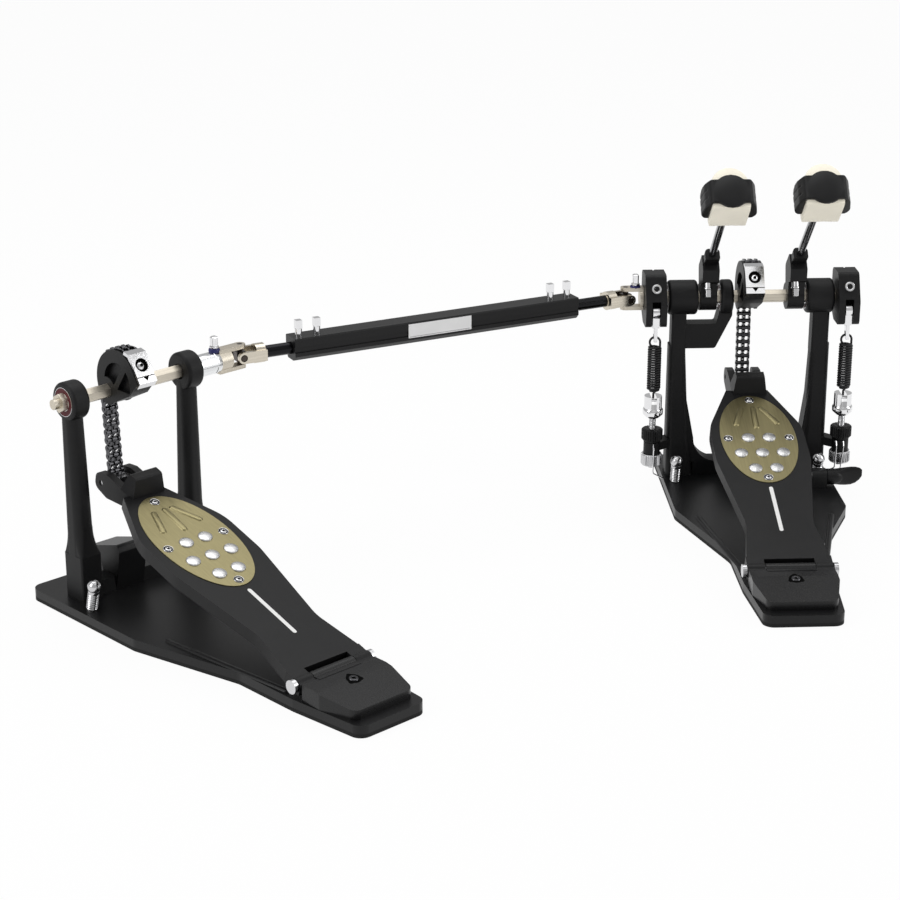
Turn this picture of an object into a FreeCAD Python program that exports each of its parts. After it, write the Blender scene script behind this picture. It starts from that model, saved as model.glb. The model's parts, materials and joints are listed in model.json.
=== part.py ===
"""Double bass drum pedal: a main pedal, a slave pedal and the drive shaft between them.

Millimetres and degrees. Each pedal has its own frame: X along the axle to the right, Y towards the drum,
Z up, origin on the floor under the axle, in line with the middle of the footboard. The main pedal's frame is
the frame of the whole object, and the slave pedal stands where the drive shaft puts it.
"""
import FreeCAD, Part
import math
import os
from FreeCAD import Placement, Rotation, Vector

os.makedirs("parts", exist_ok=True)

# Layout
AXLE_HEIGHT = 170.0
HINGE_HEIGHT = 19.3
BOARD_PITCH = 17.8
SHAFT_SPAN = 358.0
SHAFT_ANGLE = 24.3
SLAVE_YAW = 40.57
MAIN_JOINT_X = -103.3
SLAVE_JOINT_X = 121.8

# Further than any piece reaches, for cuts that go right through
FAR = 400.0

# Clearances
RUNNING_FIT = 0.08
PRESS_GAP = 0.02
SIDE_PLAY = 0.5
OPEN_JOINT_PLAY = 0.7
SEAT_GAP = 0.2

# Base plate and sole
SOLE_THICK = 3.0
BASE_THICK = 6.5
BASE_NOSE_REACH = 66.0
BASE_REAR = 44.0
BASE_NOSE_HALF = 31.0
BASE_HEEL_HALF = 36.5
BASE_HEEL_REACH = 60.0
BASE_SHOULDER = 92.0
MAIN_BASE_LEFT = 68.0
SLAVE_BASE_LEFT = 58.0
BASE_RIGHT = 79.0
BASE_CORNER = 9.0
BEAM_HALF = 8.0
BEAM_HEIGHT = 12.0

# Towers: outer face, inner face at the top and at the foot, measured along the axle
MAIN_LEFT_TOWER = (-65.0, -50.5, -41.0)
MAIN_RIGHT_TOWER = (75.6, 59.2, 54.0)
SLAVE_LEFT_TOWER = (-46.5, -32.0, -27.5)
SLAVE_RIGHT_TOWER = (75.3, 60.8, 56.0)
TOWER_TOP_HALF = 7.8
TOWER_FOOT_HALF = 11.5
TOWER_KNEE = 46.0
MAIN_TOWER_CORNER = 4.5
SLAVE_TOWER_CORNER = 6.6
GUSSET_RADIUS = 22.0
GUSSET_TAPER = 52.0
STEM_DROP = 42.0
STEM_OVERHANG = 1.6

# Bearing housings: left and right face along the axle
HOUSING_RADIUS = 15.0
HOUSING_EDGE = 2.8
MAIN_LEFT_HOUSING = (-67.0, -41.5)
MAIN_RIGHT_HOUSING = (52.6, 76.6)
SLAVE_LEFT_HOUSING = (-46.6, -31.6)
SLAVE_RIGHT_HOUSING = (61.0, 75.6)
ARM_RING = (-22.0, -11.0)
ARM_DROP = 44.3
ARM_DEEP = 22.0
ARM_HALF = 7.0
BEARING_RADIUS = 11.0
BEARING_WIDTH = 5.0
BEARING_INSET = 0.6
THROAT_RADIUS = 8.0
BOTH_ENDS = ["left", "right"]

# Axles
HEX_FLATS = 10.0
STUB_GAP = 0.6
AXLE_END = 97.0
AXLE_NUT_FLATS = 13.0
AXLE_NUT_THICK = 5.0
AXLE_BOLT_RADIUS = 4.0
AXLE_BOLT_LENGTH = 10.0
COLLAR_RADIUS = 8.5
COLLAR_LENGTH = 22.0

# Universal joints
YOKE_HUB_RADIUS = 8.0
YOKE_REACH = 12.0
YOKE_HUB_LENGTH = 8.0
EAR_INNER = 6.6
EAR_THICK = 3.2
EAR_HALF = 4.6
CROSS_HALF = 3.9
CROSS_PIN_RADIUS = 2.2

# Drive shaft, distances from the slave joint
TUBE_START = 44.0
TUBE_END_INSET = 52.0
TUBE_HALF = 9.5
TUBE_CHAMFER = 4.0
TUBE_GROOVE = 1.2
TUBE_GROOVE_HALF = 2.4
SHAFT_ROD_RADIUS = 5.0
ROD_SHARE = 0.38
SHAFT_BOLT_INSET = (7.0, 23.0)

# Drum key bolts
BOLT_RADIUS = 3.0
BOLT_NECK = 6.0
BOLT_SQUARE = 5.2
BOLT_SQUARE_TALL = 7.0

# Heel plate and hinge
HEEL_REACH = 56.0
HEEL_HALF = 34.0
HEEL_NOSE_HALF = 27.0
HEEL_BACK_TALL = 13.0
HEEL_FRONT_TALL = 7.0
HEEL_CORNER = 7.0
PIN_RADIUS = 3.0
PIN_HALF = 34.6
PIN_CAP_RADIUS = 5.2
PIN_CAP_THICK = 3.3
KNUCKLE_RADIUS = 5.5
KNUCKLE_HALF = 19.5
HEEL_SCREW_RADIUS = 4.5
HEEL_SCREW_BACK = 16.0

# Spur screws
SPUR_BALL = 5.3
SPUR_RADIUS = 4.0
SPUR_BACK = 30.0
SPUR_INSET = 9.5
SPUR_TILT = 14.0
SPUR_BALL_HEIGHT = 30.0
SPUR_FOOT = 0.5

# Footboard, lengths along the board from the hinge pin
BOARD_TOP = 4.4
BOARD_THICK = 5.0
BOARD_HEEL_HALF = 34.0
BOARD_WAIST = 52.0
BOARD_WAIST_HALF = 27.0
WIDE_FROM_TOE = 106.0
BOARD_WIDE_HALF = 39.5
NECK_FROM_TOE = 34.0
BOARD_NECK_HALF = 18.0
BOARD_TOE = 266.0
SKIRT_DEPTH = 10.0
SKIRT_WALL = 3.0
TOE_SLOT_HALF = 8.2
TOE_DEPTH = 15.0
TOE_HALF = 14.5
STOP_FROM_TOE = 23.0
STOP_LONG = 17.0
STOP_TALL = 15.5
STOP_HALF = 12.0
STOP_FOOT_HALF = 15.0

# Grip plate with its studs and screws
GRIP_FROM_STOP = 62.5
GRIP_HALF_LONG = 59.5
GRIP_HALF_WIDE = 32.0
GRIP_THICK = 1.2
GRIP_SINK = 0.6
STUD_RADIUS = 5.4
STUD_TALL = 1.9
STUD_PITCH = 17.6
STUD_ROW = 20.6
STUDS_BELOW_MIDDLE = 20.3
GRIP_SCREW_RADIUS = 3.4
GRIP_SCREW_TALL = 1.1
GRIP_SCREW_ALONG = 52.9
GRIP_SCREW_ACROSS = 25.8

# Cam wheel and chain
CAM_X = 2.0
CAM_BACK = 13.5
CAM_UP = 8.5
CHAIN_RADIUS = 25.0
RIM_RISE = 1.2
CORE_CLEARANCE = 1.7
RIM_WALL = 2.0
RIM_PLAY = 0.3
CAM_BOSS_RADIUS = 7.4
RIM_BOSS_RADIUS = 11.0
CAM_POCKET = 4.0
CAM_BAND = 4.0
POCKET_RISE = 4.0
SPOKE_HALF = 2.5
SPOKE_TURN = 35.0
FACET_END = -25.0
FLANGE_SINK = 2.8
ANCHOR_PAST_TOE = 2.0
ANCHOR_FORE = 6.7
ANCHOR_DROP = 5.0
ANCHOR_PIN_RADIUS = 2.2
ANCHOR_CHEEK = 4.2
ANCHOR_BACK = 10.5
ANCHOR_BELOW = 1.5
ANCHOR_PLAY = 1.2
PITCH = 6.35
PLATE = 0.8
PLATE_GAP = 0.15
ROLLER_WIDTH = 2.6
MIDDLE_PLATE = 1.0
LINK_PIN_RADIUS = 1.1
ROLLER_RADIUS = 1.65
LINK_HALF_TALL = 2.9
LINK_WAIST = 2.1
RIVET = 0.4
CLAMP_TURNS = (109.5, 121.0, 168.0, 203.0)
CLAMP_RISES = (3.0, 4.4, 3.2, -7.0)
CLAMP_DEEP = 6.5
CLAMP_PLATE = 2.6
CLAMP_LIP = 0.34
CLAMP_EDGE = 0.5
LIP_PLAY = 0.02
CLAMP_BOLT_SHARE = 0.4
CLAMP_NOTCH_SHARE = 0.78
CLAMP_NOTCH = 3.0
CLAMP_NOTCH_HALF = 2.8
CLAMP_NOTCH_LONG = 3.6
CLAMP_LINE = 0.8
CLAMP_BOSS_RADIUS = 5.4
CLAMP_BOSS_SINK = 2.2
CLAMP_BOLT_RADIUS = 3.3

# Beaters, lengths along the rod and across it from the axle
BEATER_LEAN = 47.4
LEFT_BEATER_X = -32.5
RIGHT_BEATER_X = 43.0
ROD_OFFSET = 18.8
HUB_WIDTH = 14.4
HUB_RADIUS = 11.5
HUB_BACK = 24.0
HUB_KNEE = 13.0
HUB_LIP_FOOT = (3.9, 17.9)
HUB_LIP_NOSE = (1.0, 24.7)
HUB_LIP_TOP = (8.8, 32.5)
HUB_CAP_HALF = 6.3
HUB_CAP_FRONT = 13.4
HUB_CAP_FOOT = 38.9
HUB_GAP_DEEP = 1.2
HUB_TOP = 44.0
HUB_BOLT_SHIFT = -2.0
BEATER_ROD_RADIUS = 3.3
ROD_FOOT = 28.0
BORE_FOOT = 14.0
LEFT_HEAD_FOOT = 118.7
RIGHT_HEAD_FOOT = 123.6
HEAD_TALL = 32.3
HEAD_HALF_WIDE = 23.5
WING_TIP = 6.0
WING_TIP_WALL = 1.4
WING_BULGE = 0.36
WING_SHOULDER = 0.82
WING_DRAW = 2.6
BAND_DRAW = 7.0
BAND_HALF_DEEP = 10.5
DISC_RADIUS = 14.6
DISC_DOME = 2.2
WING_RIB = 1.3
WING_RIB_SINK = 0.7
WING_RIB_SHIFT = 3.4
FELT_HALF_WIDE = 15.7
FELT_BACK = 14.0
FELT_FRONT = 23.6
FELT_CROWN = 15.5
FELT_TAPER = 0.6
FELT_TAPER_LONG = 3.0
CAP_THICK = 3.2
FELT_GAP = 0.2

# Springs: levers, links, coils and tension posts
LEFT_LEVER = (-88.0, -69.8)
RIGHT_LEVER = (78.4, 96.6)
LEVER_ABOVE = 23.0
LEVER_BELOW = 21.0
LEVER_HALF = 11.5
LEVER_NOSE = 23.0
LEVER_SLOT = 7.4
LEVER_BOLT_SHARE = 0.52
LEVER_BOLT_RADIUS = 4.4
LEVER_BOLT_TALL = 1.2
SLOT_ROOF = 2.0
SLOT_BACK = 8.0
SLOT_KNEE = 9.3
LINK_BACK = 17.0
LINK_PIN_RISE = 8.3
LINK_PIN_FORE = 1.0
LEVER_PIN_RADIUS = 2.0
LINK_EYE_PLAY = 1.4
LINK_EYE_WALL = 2.2
LINK_THICK = 6.0
LINK_TAIL_THICK = 3.0
LINK_TAIL_HALF = 3.6
LINK_HOLE = 2.3
HOOK_DROP = 30.5
HOOK_RADIUS = 4.5
COIL_RADIUS = 5.1
COIL_WIRE = 0.8
COIL_DROP = 38.5
COIL_FOOT = 90.0
COIL_TURNS = 19
SWIVEL_TOP = 86.5
SWIVEL_FOOT = 67.0
SWIVEL_RADIUS = 8.8
SWIVEL_NECK = 7.6
SWIVEL_BORE = 3.2
POST_RADIUS = 3.0
KNOB_FOOT = 44.5
KNOB_TALL = 12.0
KNOB_RADIUS = 9.2
KNOB_EDGE = 1.5
BOSS_TALL = 10.5
BOSS_RADIUS = 7.2
LOCK_NUT_TALL = 10.5
LOCK_NUT_RADIUS = 9.2
POST_TAIL = 3.0

# Hoop clamp
JAW_HALF = 13.0
JAW_PIVOT_RISE = 27.0
JAW_PIVOT_RADIUS = 3.0
JAW_NOSE = 43.0
JAW_TAIL = 47.0
JAW_DEEP = 7.0
HOOP_GAP = 14.0
JAW_LUG = 5.0
TONGUE_NOSE = 29.0
TONGUE_DEEP = 13.0
TONGUE_RISE = 25.0
TONGUE_TAIL = 12.0
SCREW_BACK = 41.0
SCREW_RISE = 8.0
SCREW_RADIUS = 4.0
SCREW_LUG = (58.0, 71.0)
SCREW_TIP = 2.0
SCREW_CONE = 6.0
WING_START = 84.0
WING_LONG = 18.0
WING_HALF = 16.0
WING_THICK = 5.0

# Sizes worked out from the ones above
BASE_TOP = SOLE_THICK + BASE_THICK
ARM_LOW = AXLE_HEIGHT - ARM_DROP
STEM_STEP = AXLE_HEIGHT - STEM_DROP
HOOK_TOP = AXLE_HEIGHT - HOOK_DROP
COIL_TOP = AXLE_HEIGHT - COIL_DROP
BEAM_TOP = BASE_TOP + BEAM_HEIGHT
HEX_CORNER = HEX_FLATS / math.sqrt(3)
BOARD_COS = math.cos(math.radians(BOARD_PITCH))
BOARD_SIN = math.sin(math.radians(BOARD_PITCH))
BOARD_WIDE = BOARD_TOE - WIDE_FROM_TOE
BOARD_NECK = BOARD_TOE - NECK_FROM_TOE
STOP_END = BOARD_TOE - STOP_FROM_TOE
STOP_START = STOP_END - STOP_LONG
GRIP_CENTRE = STOP_START - GRIP_FROM_STOP
ANCHOR_ALONG = BOARD_TOE + ANCHOR_PAST_TOE
HINGE_BACK = ANCHOR_ALONG * BOARD_COS + ANCHOR_DROP * BOARD_SIN - ANCHOR_FORE
BASE_FRONT = HINGE_BACK + BASE_NOSE_REACH
BASE_HEEL_START = HINGE_BACK - BASE_HEEL_REACH
HEEL_FRONT = HINGE_BACK + HEEL_REACH
HEEL_BACK = HINGE_BACK + math.hypot(KNUCKLE_RADIUS, BOARD_TOP) + SIDE_PLAY
HEEL_SCREW_AT = HEEL_BACK + HEEL_SCREW_BACK
TUBE_END = SHAFT_SPAN - TUBE_END_INSET
ROD_INSERT = ROD_SHARE * (TUBE_END - TUBE_START)
CAM_CENTRE = (-CAM_BACK, AXLE_HEIGHT + CAM_UP)
RIM_RADIUS = CHAIN_RADIUS + RIM_RISE
CLAMP_RADII = [RIM_RADIUS + rise for rise in CLAMP_RISES]
INNER_PLATE = MIDDLE_PLATE / 2 + PLATE_GAP
ROLLER_START = INNER_PLATE + PLATE
ROLLER_END = ROLLER_START + ROLLER_WIDTH
OUTER_PLATE = ROLLER_END + PLATE + PLATE_GAP
CHAIN_HALF = OUTER_PLATE + PLATE + RIVET
GROOVE_HALF = CHAIN_HALF + RIM_PLAY
RIM_HALF = GROOVE_HALF + RIM_WALL
CORE_RADIUS = CHAIN_RADIUS - LINK_HALF_TALL - CORE_CLEARANCE
BORE_CORNER = HEX_CORNER + RUNNING_FIT
HOOK_CENTRE = HOOK_TOP - HOOK_RADIUS

# The pedals' and the shaft's places
MAIN = Placement()
SHAFT_TURN = Rotation(Vector(0, 0, 1), SHAFT_ANGLE)
SHAFT_START = Vector(MAIN_JOINT_X, 0, AXLE_HEIGHT) - SHAFT_TURN.multVec(Vector(SHAFT_SPAN, 0, 0))
SHAFT = Placement(SHAFT_START, SHAFT_TURN)
SLAVE_TURN = Rotation(Vector(0, 0, 1), SLAVE_YAW)
SLAVE = Placement(SHAFT_START - SLAVE_TURN.multVec(Vector(SLAVE_JOINT_X, 0, AXLE_HEIGHT)), SLAVE_TURN)
BOARD = Placement(Vector(0, -HINGE_BACK, HINGE_HEIGHT), Rotation(Vector(1, 0, 0), BOARD_PITCH))


def beater_frame(x):
    """Frame of a beater hub: X across, Y towards the drum, Z up along the rod, origin on the axle."""
    return Placement(Vector(x, 0, AXLE_HEIGHT), Rotation(Vector(1, 0, 0), BEATER_LEAN))


def rod_frame(x, along=0.0):
    """Frame on the line of a beater's rod, some way along it from beside the axle."""
    return beater_frame(x).multiply(Placement(Vector(0, ROD_OFFSET, along), Rotation()))


# Plain shapes
def box(x0, x1, y0, y1, z0, z1):
    corner = Vector(min(x0, x1), min(y0, y1), min(z0, z1))
    return Part.makeBox(abs(x1 - x0), abs(y1 - y0), abs(z1 - z0), corner)


def bar(radius, start, end):
    start, end = Vector(*start), Vector(*end)
    return Part.makeCylinder(radius, (end - start).Length, start, end - start)


def cone(radius_a, radius_b, start, end):
    start, end = Vector(*start), Vector(*end)
    return Part.makeCone(radius_a, radius_b, (end - start).Length, start, end - start)


def hex_bar(flats, x0, x1, y=0.0, z=AXLE_HEIGHT):
    reach = flats / math.sqrt(3)
    turns = [math.radians(60 * k + 30) for k in range(7)]
    corners = [Vector(x0, y + reach * math.cos(t), z + reach * math.sin(t)) for t in turns]
    return Part.Face(Part.makePolygon(corners)).extrude(Vector(x1 - x0, 0, 0))


def rounded_wire(corners, radii):
    """Closed flat outline through the corners, each rounded with its radius (0 keeps it sharp)."""
    count = len(corners)
    starts, ends, middles = [], [], []
    for k in range(count):
        here = corners[k]
        back = (corners[k - 1] - here).normalize()
        ahead = (corners[(k + 1) % count] - here).normalize()
        half = back.getAngle(ahead) / 2
        reach = radii[k] / math.tan(half)
        bisector = (back + ahead).normalize()
        starts.append(here + back * reach)
        ends.append(here + ahead * reach)
        middles.append(here + bisector * (radii[k] / math.sin(half) - radii[k]))
    edges = []
    for k in range(count):
        if radii[k] > 0:
            edges.append(Part.Arc(starts[k], middles[k], ends[k]).toShape())
        after = starts[(k + 1) % count]
        if (after - ends[k]).Length > 1e-6:
            edges.append(Part.LineSegment(ends[k], after).toShape())
    return Part.Wire(edges)


def plate(points, radii, z0, z1):
    """Flat plate with a rounded outline in X and Y."""
    wire = rounded_wire([Vector(x, y, z0) for x, y in points], radii)
    return Part.Face(wire).extrude(Vector(0, 0, z1 - z0))


def side_plate(points, radii, x0, x1):
    """Plate with a rounded outline in Y and Z, as thick as x0 to x1."""
    wire = rounded_wire([Vector(x0, y, z) for y, z in points], radii)
    return Part.Face(wire).extrude(Vector(x1 - x0, 0, 0))


def front_plate(points, radii, y0, y1):
    """Plate with a rounded outline in X and Z, as deep as y0 to y1."""
    wire = rounded_wire([Vector(x, y0, z) for x, z in points], radii)
    return Part.Face(wire).extrude(Vector(0, y1 - y0, 0))


def slab_wire(x0, x1, half, radius, z):
    x0, x1 = min(x0, x1), max(x0, x1)
    corners = [Vector(x0, -half, z), Vector(x1, -half, z), Vector(x1, half, z), Vector(x0, half, z)]
    return rounded_wire(corners, [radius] * 4)


def join(shapes):
    return shapes[0].fuse(shapes[1:]).removeSplitter()


def along_axle(radius, x0, x1):
    return bar(radius, (x0, 0, AXLE_HEIGHT), (x1, 0, AXLE_HEIGHT))


def save(name, shapes, place=MAIN):
    """Checks the pieces of one node, puts them in their place and writes them."""
    solids = []
    for shape in shapes:
        for solid in shape.Solids:
            if not solid.isValid() or solid.Volume <= 0:
                raise ValueError(name + " has a bad solid")
            moved = solid.copy()
            moved.Placement = place.multiply(moved.Placement)
            solids.append(moved)
    Part.makeCompound(solids).exportStep("parts/" + name + ".step")
    volume = sum(solid.Volume for solid in solids) / 1000
    print(f"{name:22s} {len(solids):3d} solids {volume:9.3f} cm3")


# Base, sole and towers
def base_outline(left, right):
    points = [
        (-BASE_NOSE_HALF, -BASE_FRONT), (BASE_NOSE_HALF, -BASE_FRONT),
        (BASE_HEEL_HALF, -HINGE_BACK), (BASE_HEEL_HALF, -BASE_HEEL_START),
        (right, -BASE_SHOULDER), (right, BASE_REAR), (-left, BASE_REAR), (-left, -BASE_SHOULDER),
        (-BASE_HEEL_HALF, -BASE_HEEL_START), (-BASE_HEEL_HALF, -HINGE_BACK),
    ]
    corner = BASE_CORNER
    return points, [corner, corner, 2 * corner, 3 * corner, 2 * corner, corner, corner, 2 * corner, 3 * corner,
                    2 * corner]


def base(left, left_tower, right_tower):
    points, radii = base_outline(left, BASE_RIGHT)
    body = plate(points, radii, SOLE_THICK, BASE_TOP)
    beam = box(left_tower[2], right_tower[2], -BEAM_HALF, BEAM_HALF, BASE_TOP, BEAM_TOP)
    return join([body, beam])


def sole(left):
    points, radii = base_outline(left, BASE_RIGHT)
    return plate(points, radii, 0, SOLE_THICK)


def barrel(housing):
    """Bearing housing: a short cylinder with rounded rims."""
    body = along_axle(HOUSING_RADIUS, *housing)
    rims = [edge for edge in body.Edges if len(edge.Vertexes) == 1]
    return body.makeFillet(HOUSING_EDGE, rims)


def tower_column(tower, top, corner):
    outer, inner, foot = tower
    knee = (inner + foot) / 2
    wires = [
        slab_wire(outer, foot, TOWER_FOOT_HALF, corner, BASE_TOP),
        slab_wire(outer, knee, (TOWER_TOP_HALF + TOWER_FOOT_HALF) / 2, corner, TOWER_KNEE),
        slab_wire(outer, inner, TOWER_TOP_HALF, corner, top),
    ]
    return Part.makeLoft(wires, True, True)


def gusset(tower):
    """Hollow-cornered web that tapers from the tower's inner face down to the cross beam."""
    _, inner, foot = tower
    away = math.copysign(1, -foot)
    start = inner - away
    low = Vector(foot + away * GUSSET_RADIUS, -BEAM_HALF, BEAM_TOP)
    high = Vector(foot, -BEAM_HALF, BEAM_TOP + GUSSET_RADIUS)
    turn = GUSSET_RADIUS * (1 - math.sqrt(0.5))
    middle = Vector(foot + away * turn, -BEAM_HALF, BEAM_TOP + turn)
    inside_low = Vector(start, -BEAM_HALF, BEAM_TOP)
    inside_high = Vector(start, -BEAM_HALF, BEAM_TOP + GUSSET_RADIUS + GUSSET_TAPER)
    edges = [
        Part.Arc(low, middle, high).toShape(),
        Part.LineSegment(high, inside_high).toShape(),
        Part.LineSegment(inside_high, inside_low).toShape(),
        Part.LineSegment(inside_low, low).toShape(),
    ]
    return Part.Face(Part.Wire(edges)).extrude(Vector(0, 2 * BEAM_HALF, 0))


def bearing_starts(housing, ends):
    """Where the bearings begin along the axle, at the named ends of a housing."""
    left, right = housing
    starts = {"left": left + BEARING_INSET, "right": right - BEARING_INSET - BEARING_WIDTH}
    return [starts[end] for end in ends]


def bearing_seats(housing, ends):
    """Bores for the bearings at the ends of a housing, and the throat between them."""
    left, right = housing
    cuts = [along_axle(THROAT_RADIUS, left - 1, right + 1)]
    seat = BEARING_INSET + BEARING_WIDTH
    for end in ends:
        low, high = (left - 1, left + seat) if end == "left" else (right - seat, right + 1)
        cuts.append(along_axle(BEARING_RADIUS, low, high))
    return cuts


def bearings(housing, ends):
    rings = []
    for start in bearing_starts(housing, ends):
        ring = along_axle(BEARING_RADIUS - PRESS_GAP, start, start + BEARING_WIDTH)
        rings.append(ring.cut(along_axle(BORE_CORNER, start - 1, start + BEARING_WIDTH + 1)))
    return rings


def spring_bracket(outer, lever):
    """Arm from the tower's outer face to the boss that carries the tension post."""
    post = sum(lever) / 2
    low, high = KNOB_FOOT - BOSS_TALL, KNOB_FOOT
    boss = bar(BOSS_RADIUS, (post, -LINK_BACK, low), (post, -LINK_BACK, high))
    inward = outer - math.copysign(MAIN_TOWER_CORNER, outer)
    points = [(inward, TOWER_TOP_HALF - 1), (inward, -TOWER_TOP_HALF - 1), (post, -LINK_BACK - BOSS_RADIUS + 1),
              (post, -LINK_BACK + BOSS_RADIUS - 1)]
    arm = plate(points, [0] * 4, low + 2, high - 1)
    hole = bar(POST_RADIUS + RUNNING_FIT, (post, -LINK_BACK, low - 1), (post, -LINK_BACK, high + 1))
    return boss.fuse(arm), hole


def tower(sides, housing, ends, stem_step, lever=None, arm=False):
    """Tower column with its bearing housing; the main pedal's have a stepped stem and a spring bracket."""
    outer, inner, foot = sides
    column_top = AXLE_HEIGHT - HOUSING_RADIUS / 2
    pieces = [barrel(housing)]
    cuts = bearing_seats(housing, ends)
    if stem_step:
        pieces.append(tower_column(sides, stem_step, MAIN_TOWER_CORNER))
        out = outer - math.copysign(STEM_OVERHANG, outer)
        stem = slab_wire(out, inner, TOWER_TOP_HALF, 2, stem_step - BEAM_HALF)
        pieces.append(Part.Face(stem).extrude(Vector(0, 0, column_top - stem_step + BEAM_HALF)))
        pieces.append(gusset(sides))
    else:
        pieces.append(tower_column(sides, column_top, SLAVE_TOWER_CORNER))
        foot_wire = slab_wire(outer, foot, TOWER_FOOT_HALF, 2, BASE_TOP)
        pieces.append(Part.Face(foot_wire).extrude(Vector(0, 0, TOWER_KNEE - BASE_TOP)))
    if lever:
        bracket, hole = spring_bracket(outer, lever)
        pieces.append(bracket)
        cuts.append(hole)
    if arm:
        near, far = ARM_RING
        high = ARM_LOW + ARM_DEEP
        points = [(inner - 2, ARM_LOW), (near - 3, ARM_LOW), (far, AXLE_HEIGHT - HOUSING_RADIUS),
                  (far, AXLE_HEIGHT), (near, AXLE_HEIGHT), (near, AXLE_HEIGHT - 10), (near - 3, high),
                  (inner - 2, high)]
        pieces.append(front_plate(points, [0, 3, 3, 0, 0, 2, 2, 0], -ARM_HALF, ARM_HALF))
        pieces.append(barrel(ARM_RING))
        cuts.extend(bearing_seats(ARM_RING, BOTH_ENDS))
    return join(pieces).cut(Part.makeCompound(cuts))


# Heel, hinge and spurs
def heel_plate():
    back = HEEL_BACK
    top = BASE_TOP + HEEL_BACK_TALL
    front_top = BASE_TOP + HEEL_FRONT_TALL
    points = [(-HEEL_NOSE_HALF, -HEEL_FRONT), (HEEL_NOSE_HALF, -HEEL_FRONT), (HEEL_HALF, -HEEL_FRONT + 30),
              (HEEL_HALF, -back), (-HEEL_HALF, -back), (-HEEL_HALF, -HEEL_FRONT + 30)]
    body = plate(points, [HEEL_CORNER, HEEL_CORNER, HEEL_CORNER, 0, 0, HEEL_CORNER], BASE_TOP, top)
    wedge = side_plate([(-HEEL_FRONT - 1, front_top), (-back - 12, top), (-back - 12, top + 5),
                        (-HEEL_FRONT - 1, top + 5)], [0] * 4, -HEEL_HALF - 1, HEEL_HALF + 1)
    body = body.cut(wedge)
    knuckle = bar(KNUCKLE_RADIUS, (-KNUCKLE_HALF, -HINGE_BACK, HINGE_HEIGHT),
                  (KNUCKLE_HALF, -HINGE_BACK, HINGE_HEIGHT))
    web = box(-KNUCKLE_HALF, KNUCKLE_HALF, -back - 2, -HINGE_BACK, BASE_TOP, HINGE_HEIGHT + KNUCKLE_RADIUS - 2)
    body = join([body, knuckle, web])
    bore = bar(PIN_RADIUS + PRESS_GAP, (-HEEL_HALF, -HINGE_BACK, HINGE_HEIGHT),
               (HEEL_HALF, -HINGE_BACK, HINGE_HEIGHT))
    seat = bar(HEEL_SCREW_RADIUS + PRESS_GAP, (0, -HEEL_SCREW_AT, BASE_TOP + 3), (0, -HEEL_SCREW_AT, top + 1))
    return body.cut(bore).cut(seat)


def heel_hardware():
    """Hinge pin with its two caps, and the heel plate's screw."""
    pieces = [bar(PIN_RADIUS, (-PIN_HALF, -HINGE_BACK, HINGE_HEIGHT), (PIN_HALF, -HINGE_BACK, HINGE_HEIGHT))]
    for side in (-1, 1):
        start = (side * PIN_HALF, -HINGE_BACK, HINGE_HEIGHT)
        end = (side * (PIN_HALF + PIN_CAP_THICK), -HINGE_BACK, HINGE_HEIGHT)
        pieces.append(bar(PIN_CAP_RADIUS, start, end))
    screw = bar(HEEL_SCREW_RADIUS, (0, -HEEL_SCREW_AT, BASE_TOP + 3),
                (0, -HEEL_SCREW_AT, BASE_TOP + HEEL_BACK_TALL - 2))
    slot = hex_bar(4.0, 0, 4.0)
    slot.Placement = Placement(Vector(0, -HEEL_SCREW_AT, BASE_TOP + HEEL_BACK_TALL - 6),
                               Rotation(Vector(0, 1, 0), -90)).multiply(
                                   Placement(Vector(0, 0, -AXLE_HEIGHT), Rotation()))
    return [join(pieces), screw.cut(slot)]


def spur(x):
    """Ball-headed screw that leans through the base in front of a tower."""
    lean = math.radians(SPUR_TILT)
    top = Vector(x, -SPUR_BACK, SPUR_BALL_HEIGHT)
    axis = Vector(0, math.sin(lean), -math.cos(lean))
    length = (SPUR_BALL_HEIGHT - SPUR_FOOT) / math.cos(lean)
    shank = Part.makeCylinder(SPUR_RADIUS, length, top, axis)
    shank = shank.cut(box(-FAR, FAR, -FAR, FAR, -FAR, SPUR_FOOT))
    return join([Part.makeSphere(SPUR_BALL, top), shank])


def spur_bore(x):
    lean = math.radians(SPUR_TILT)
    top = Vector(x, -SPUR_BACK, SPUR_BALL_HEIGHT)
    axis = Vector(0, math.sin(lean), -math.cos(lean))
    return Part.makeCylinder(SPUR_RADIUS + RUNNING_FIT, 2 * SPUR_BALL_HEIGHT, top, axis)


# Footboard, built flat with its hinge pin along X through the origin
def board_outline(inset):
    half = {"heel": BOARD_HEEL_HALF, "waist": BOARD_WAIST_HALF, "wide": BOARD_WIDE_HALF,
            "neck": BOARD_NECK_HALF}
    half = {name: value - inset for name, value in half.items()}
    right = [(half["heel"], -KNUCKLE_RADIUS + inset), (half["heel"], KNUCKLE_RADIUS),
             (half["waist"], BOARD_WAIST), (half["wide"], BOARD_WIDE - 25), (half["wide"], BOARD_WIDE + 20),
             (half["neck"], BOARD_NECK)]
    radii = [0, 14, 40, 60, 50, 0]
    left = [(-x, y) for x, y in reversed(right)]
    return right + left, radii + radii[::-1]


def grip_wire(grow, z):
    """Egg-shaped outline of the grip plate, wider towards the middle of the board."""
    long_half, wide_half = GRIP_HALF_LONG + grow, GRIP_HALF_WIDE + grow
    ellipse = Part.Ellipse(Vector(0, GRIP_CENTRE, z), long_half, wide_half)
    ellipse.AngleXU = math.pi / 2
    return Part.Wire([ellipse.toShape()])


def grip_blank(grow, z0, z1):
    return Part.Face(grip_wire(grow, z0)).extrude(Vector(0, 0, z1 - z0))


def stud_places():
    rows = [(2, STUD_ROW), (3, 0), (2, -STUD_ROW)]
    places = []
    for count, shift in rows:
        for k in range(count):
            places.append(((k - (count - 1) / 2) * STUD_PITCH, GRIP_CENTRE - STUDS_BELOW_MIDDLE + shift))
    return places


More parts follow.
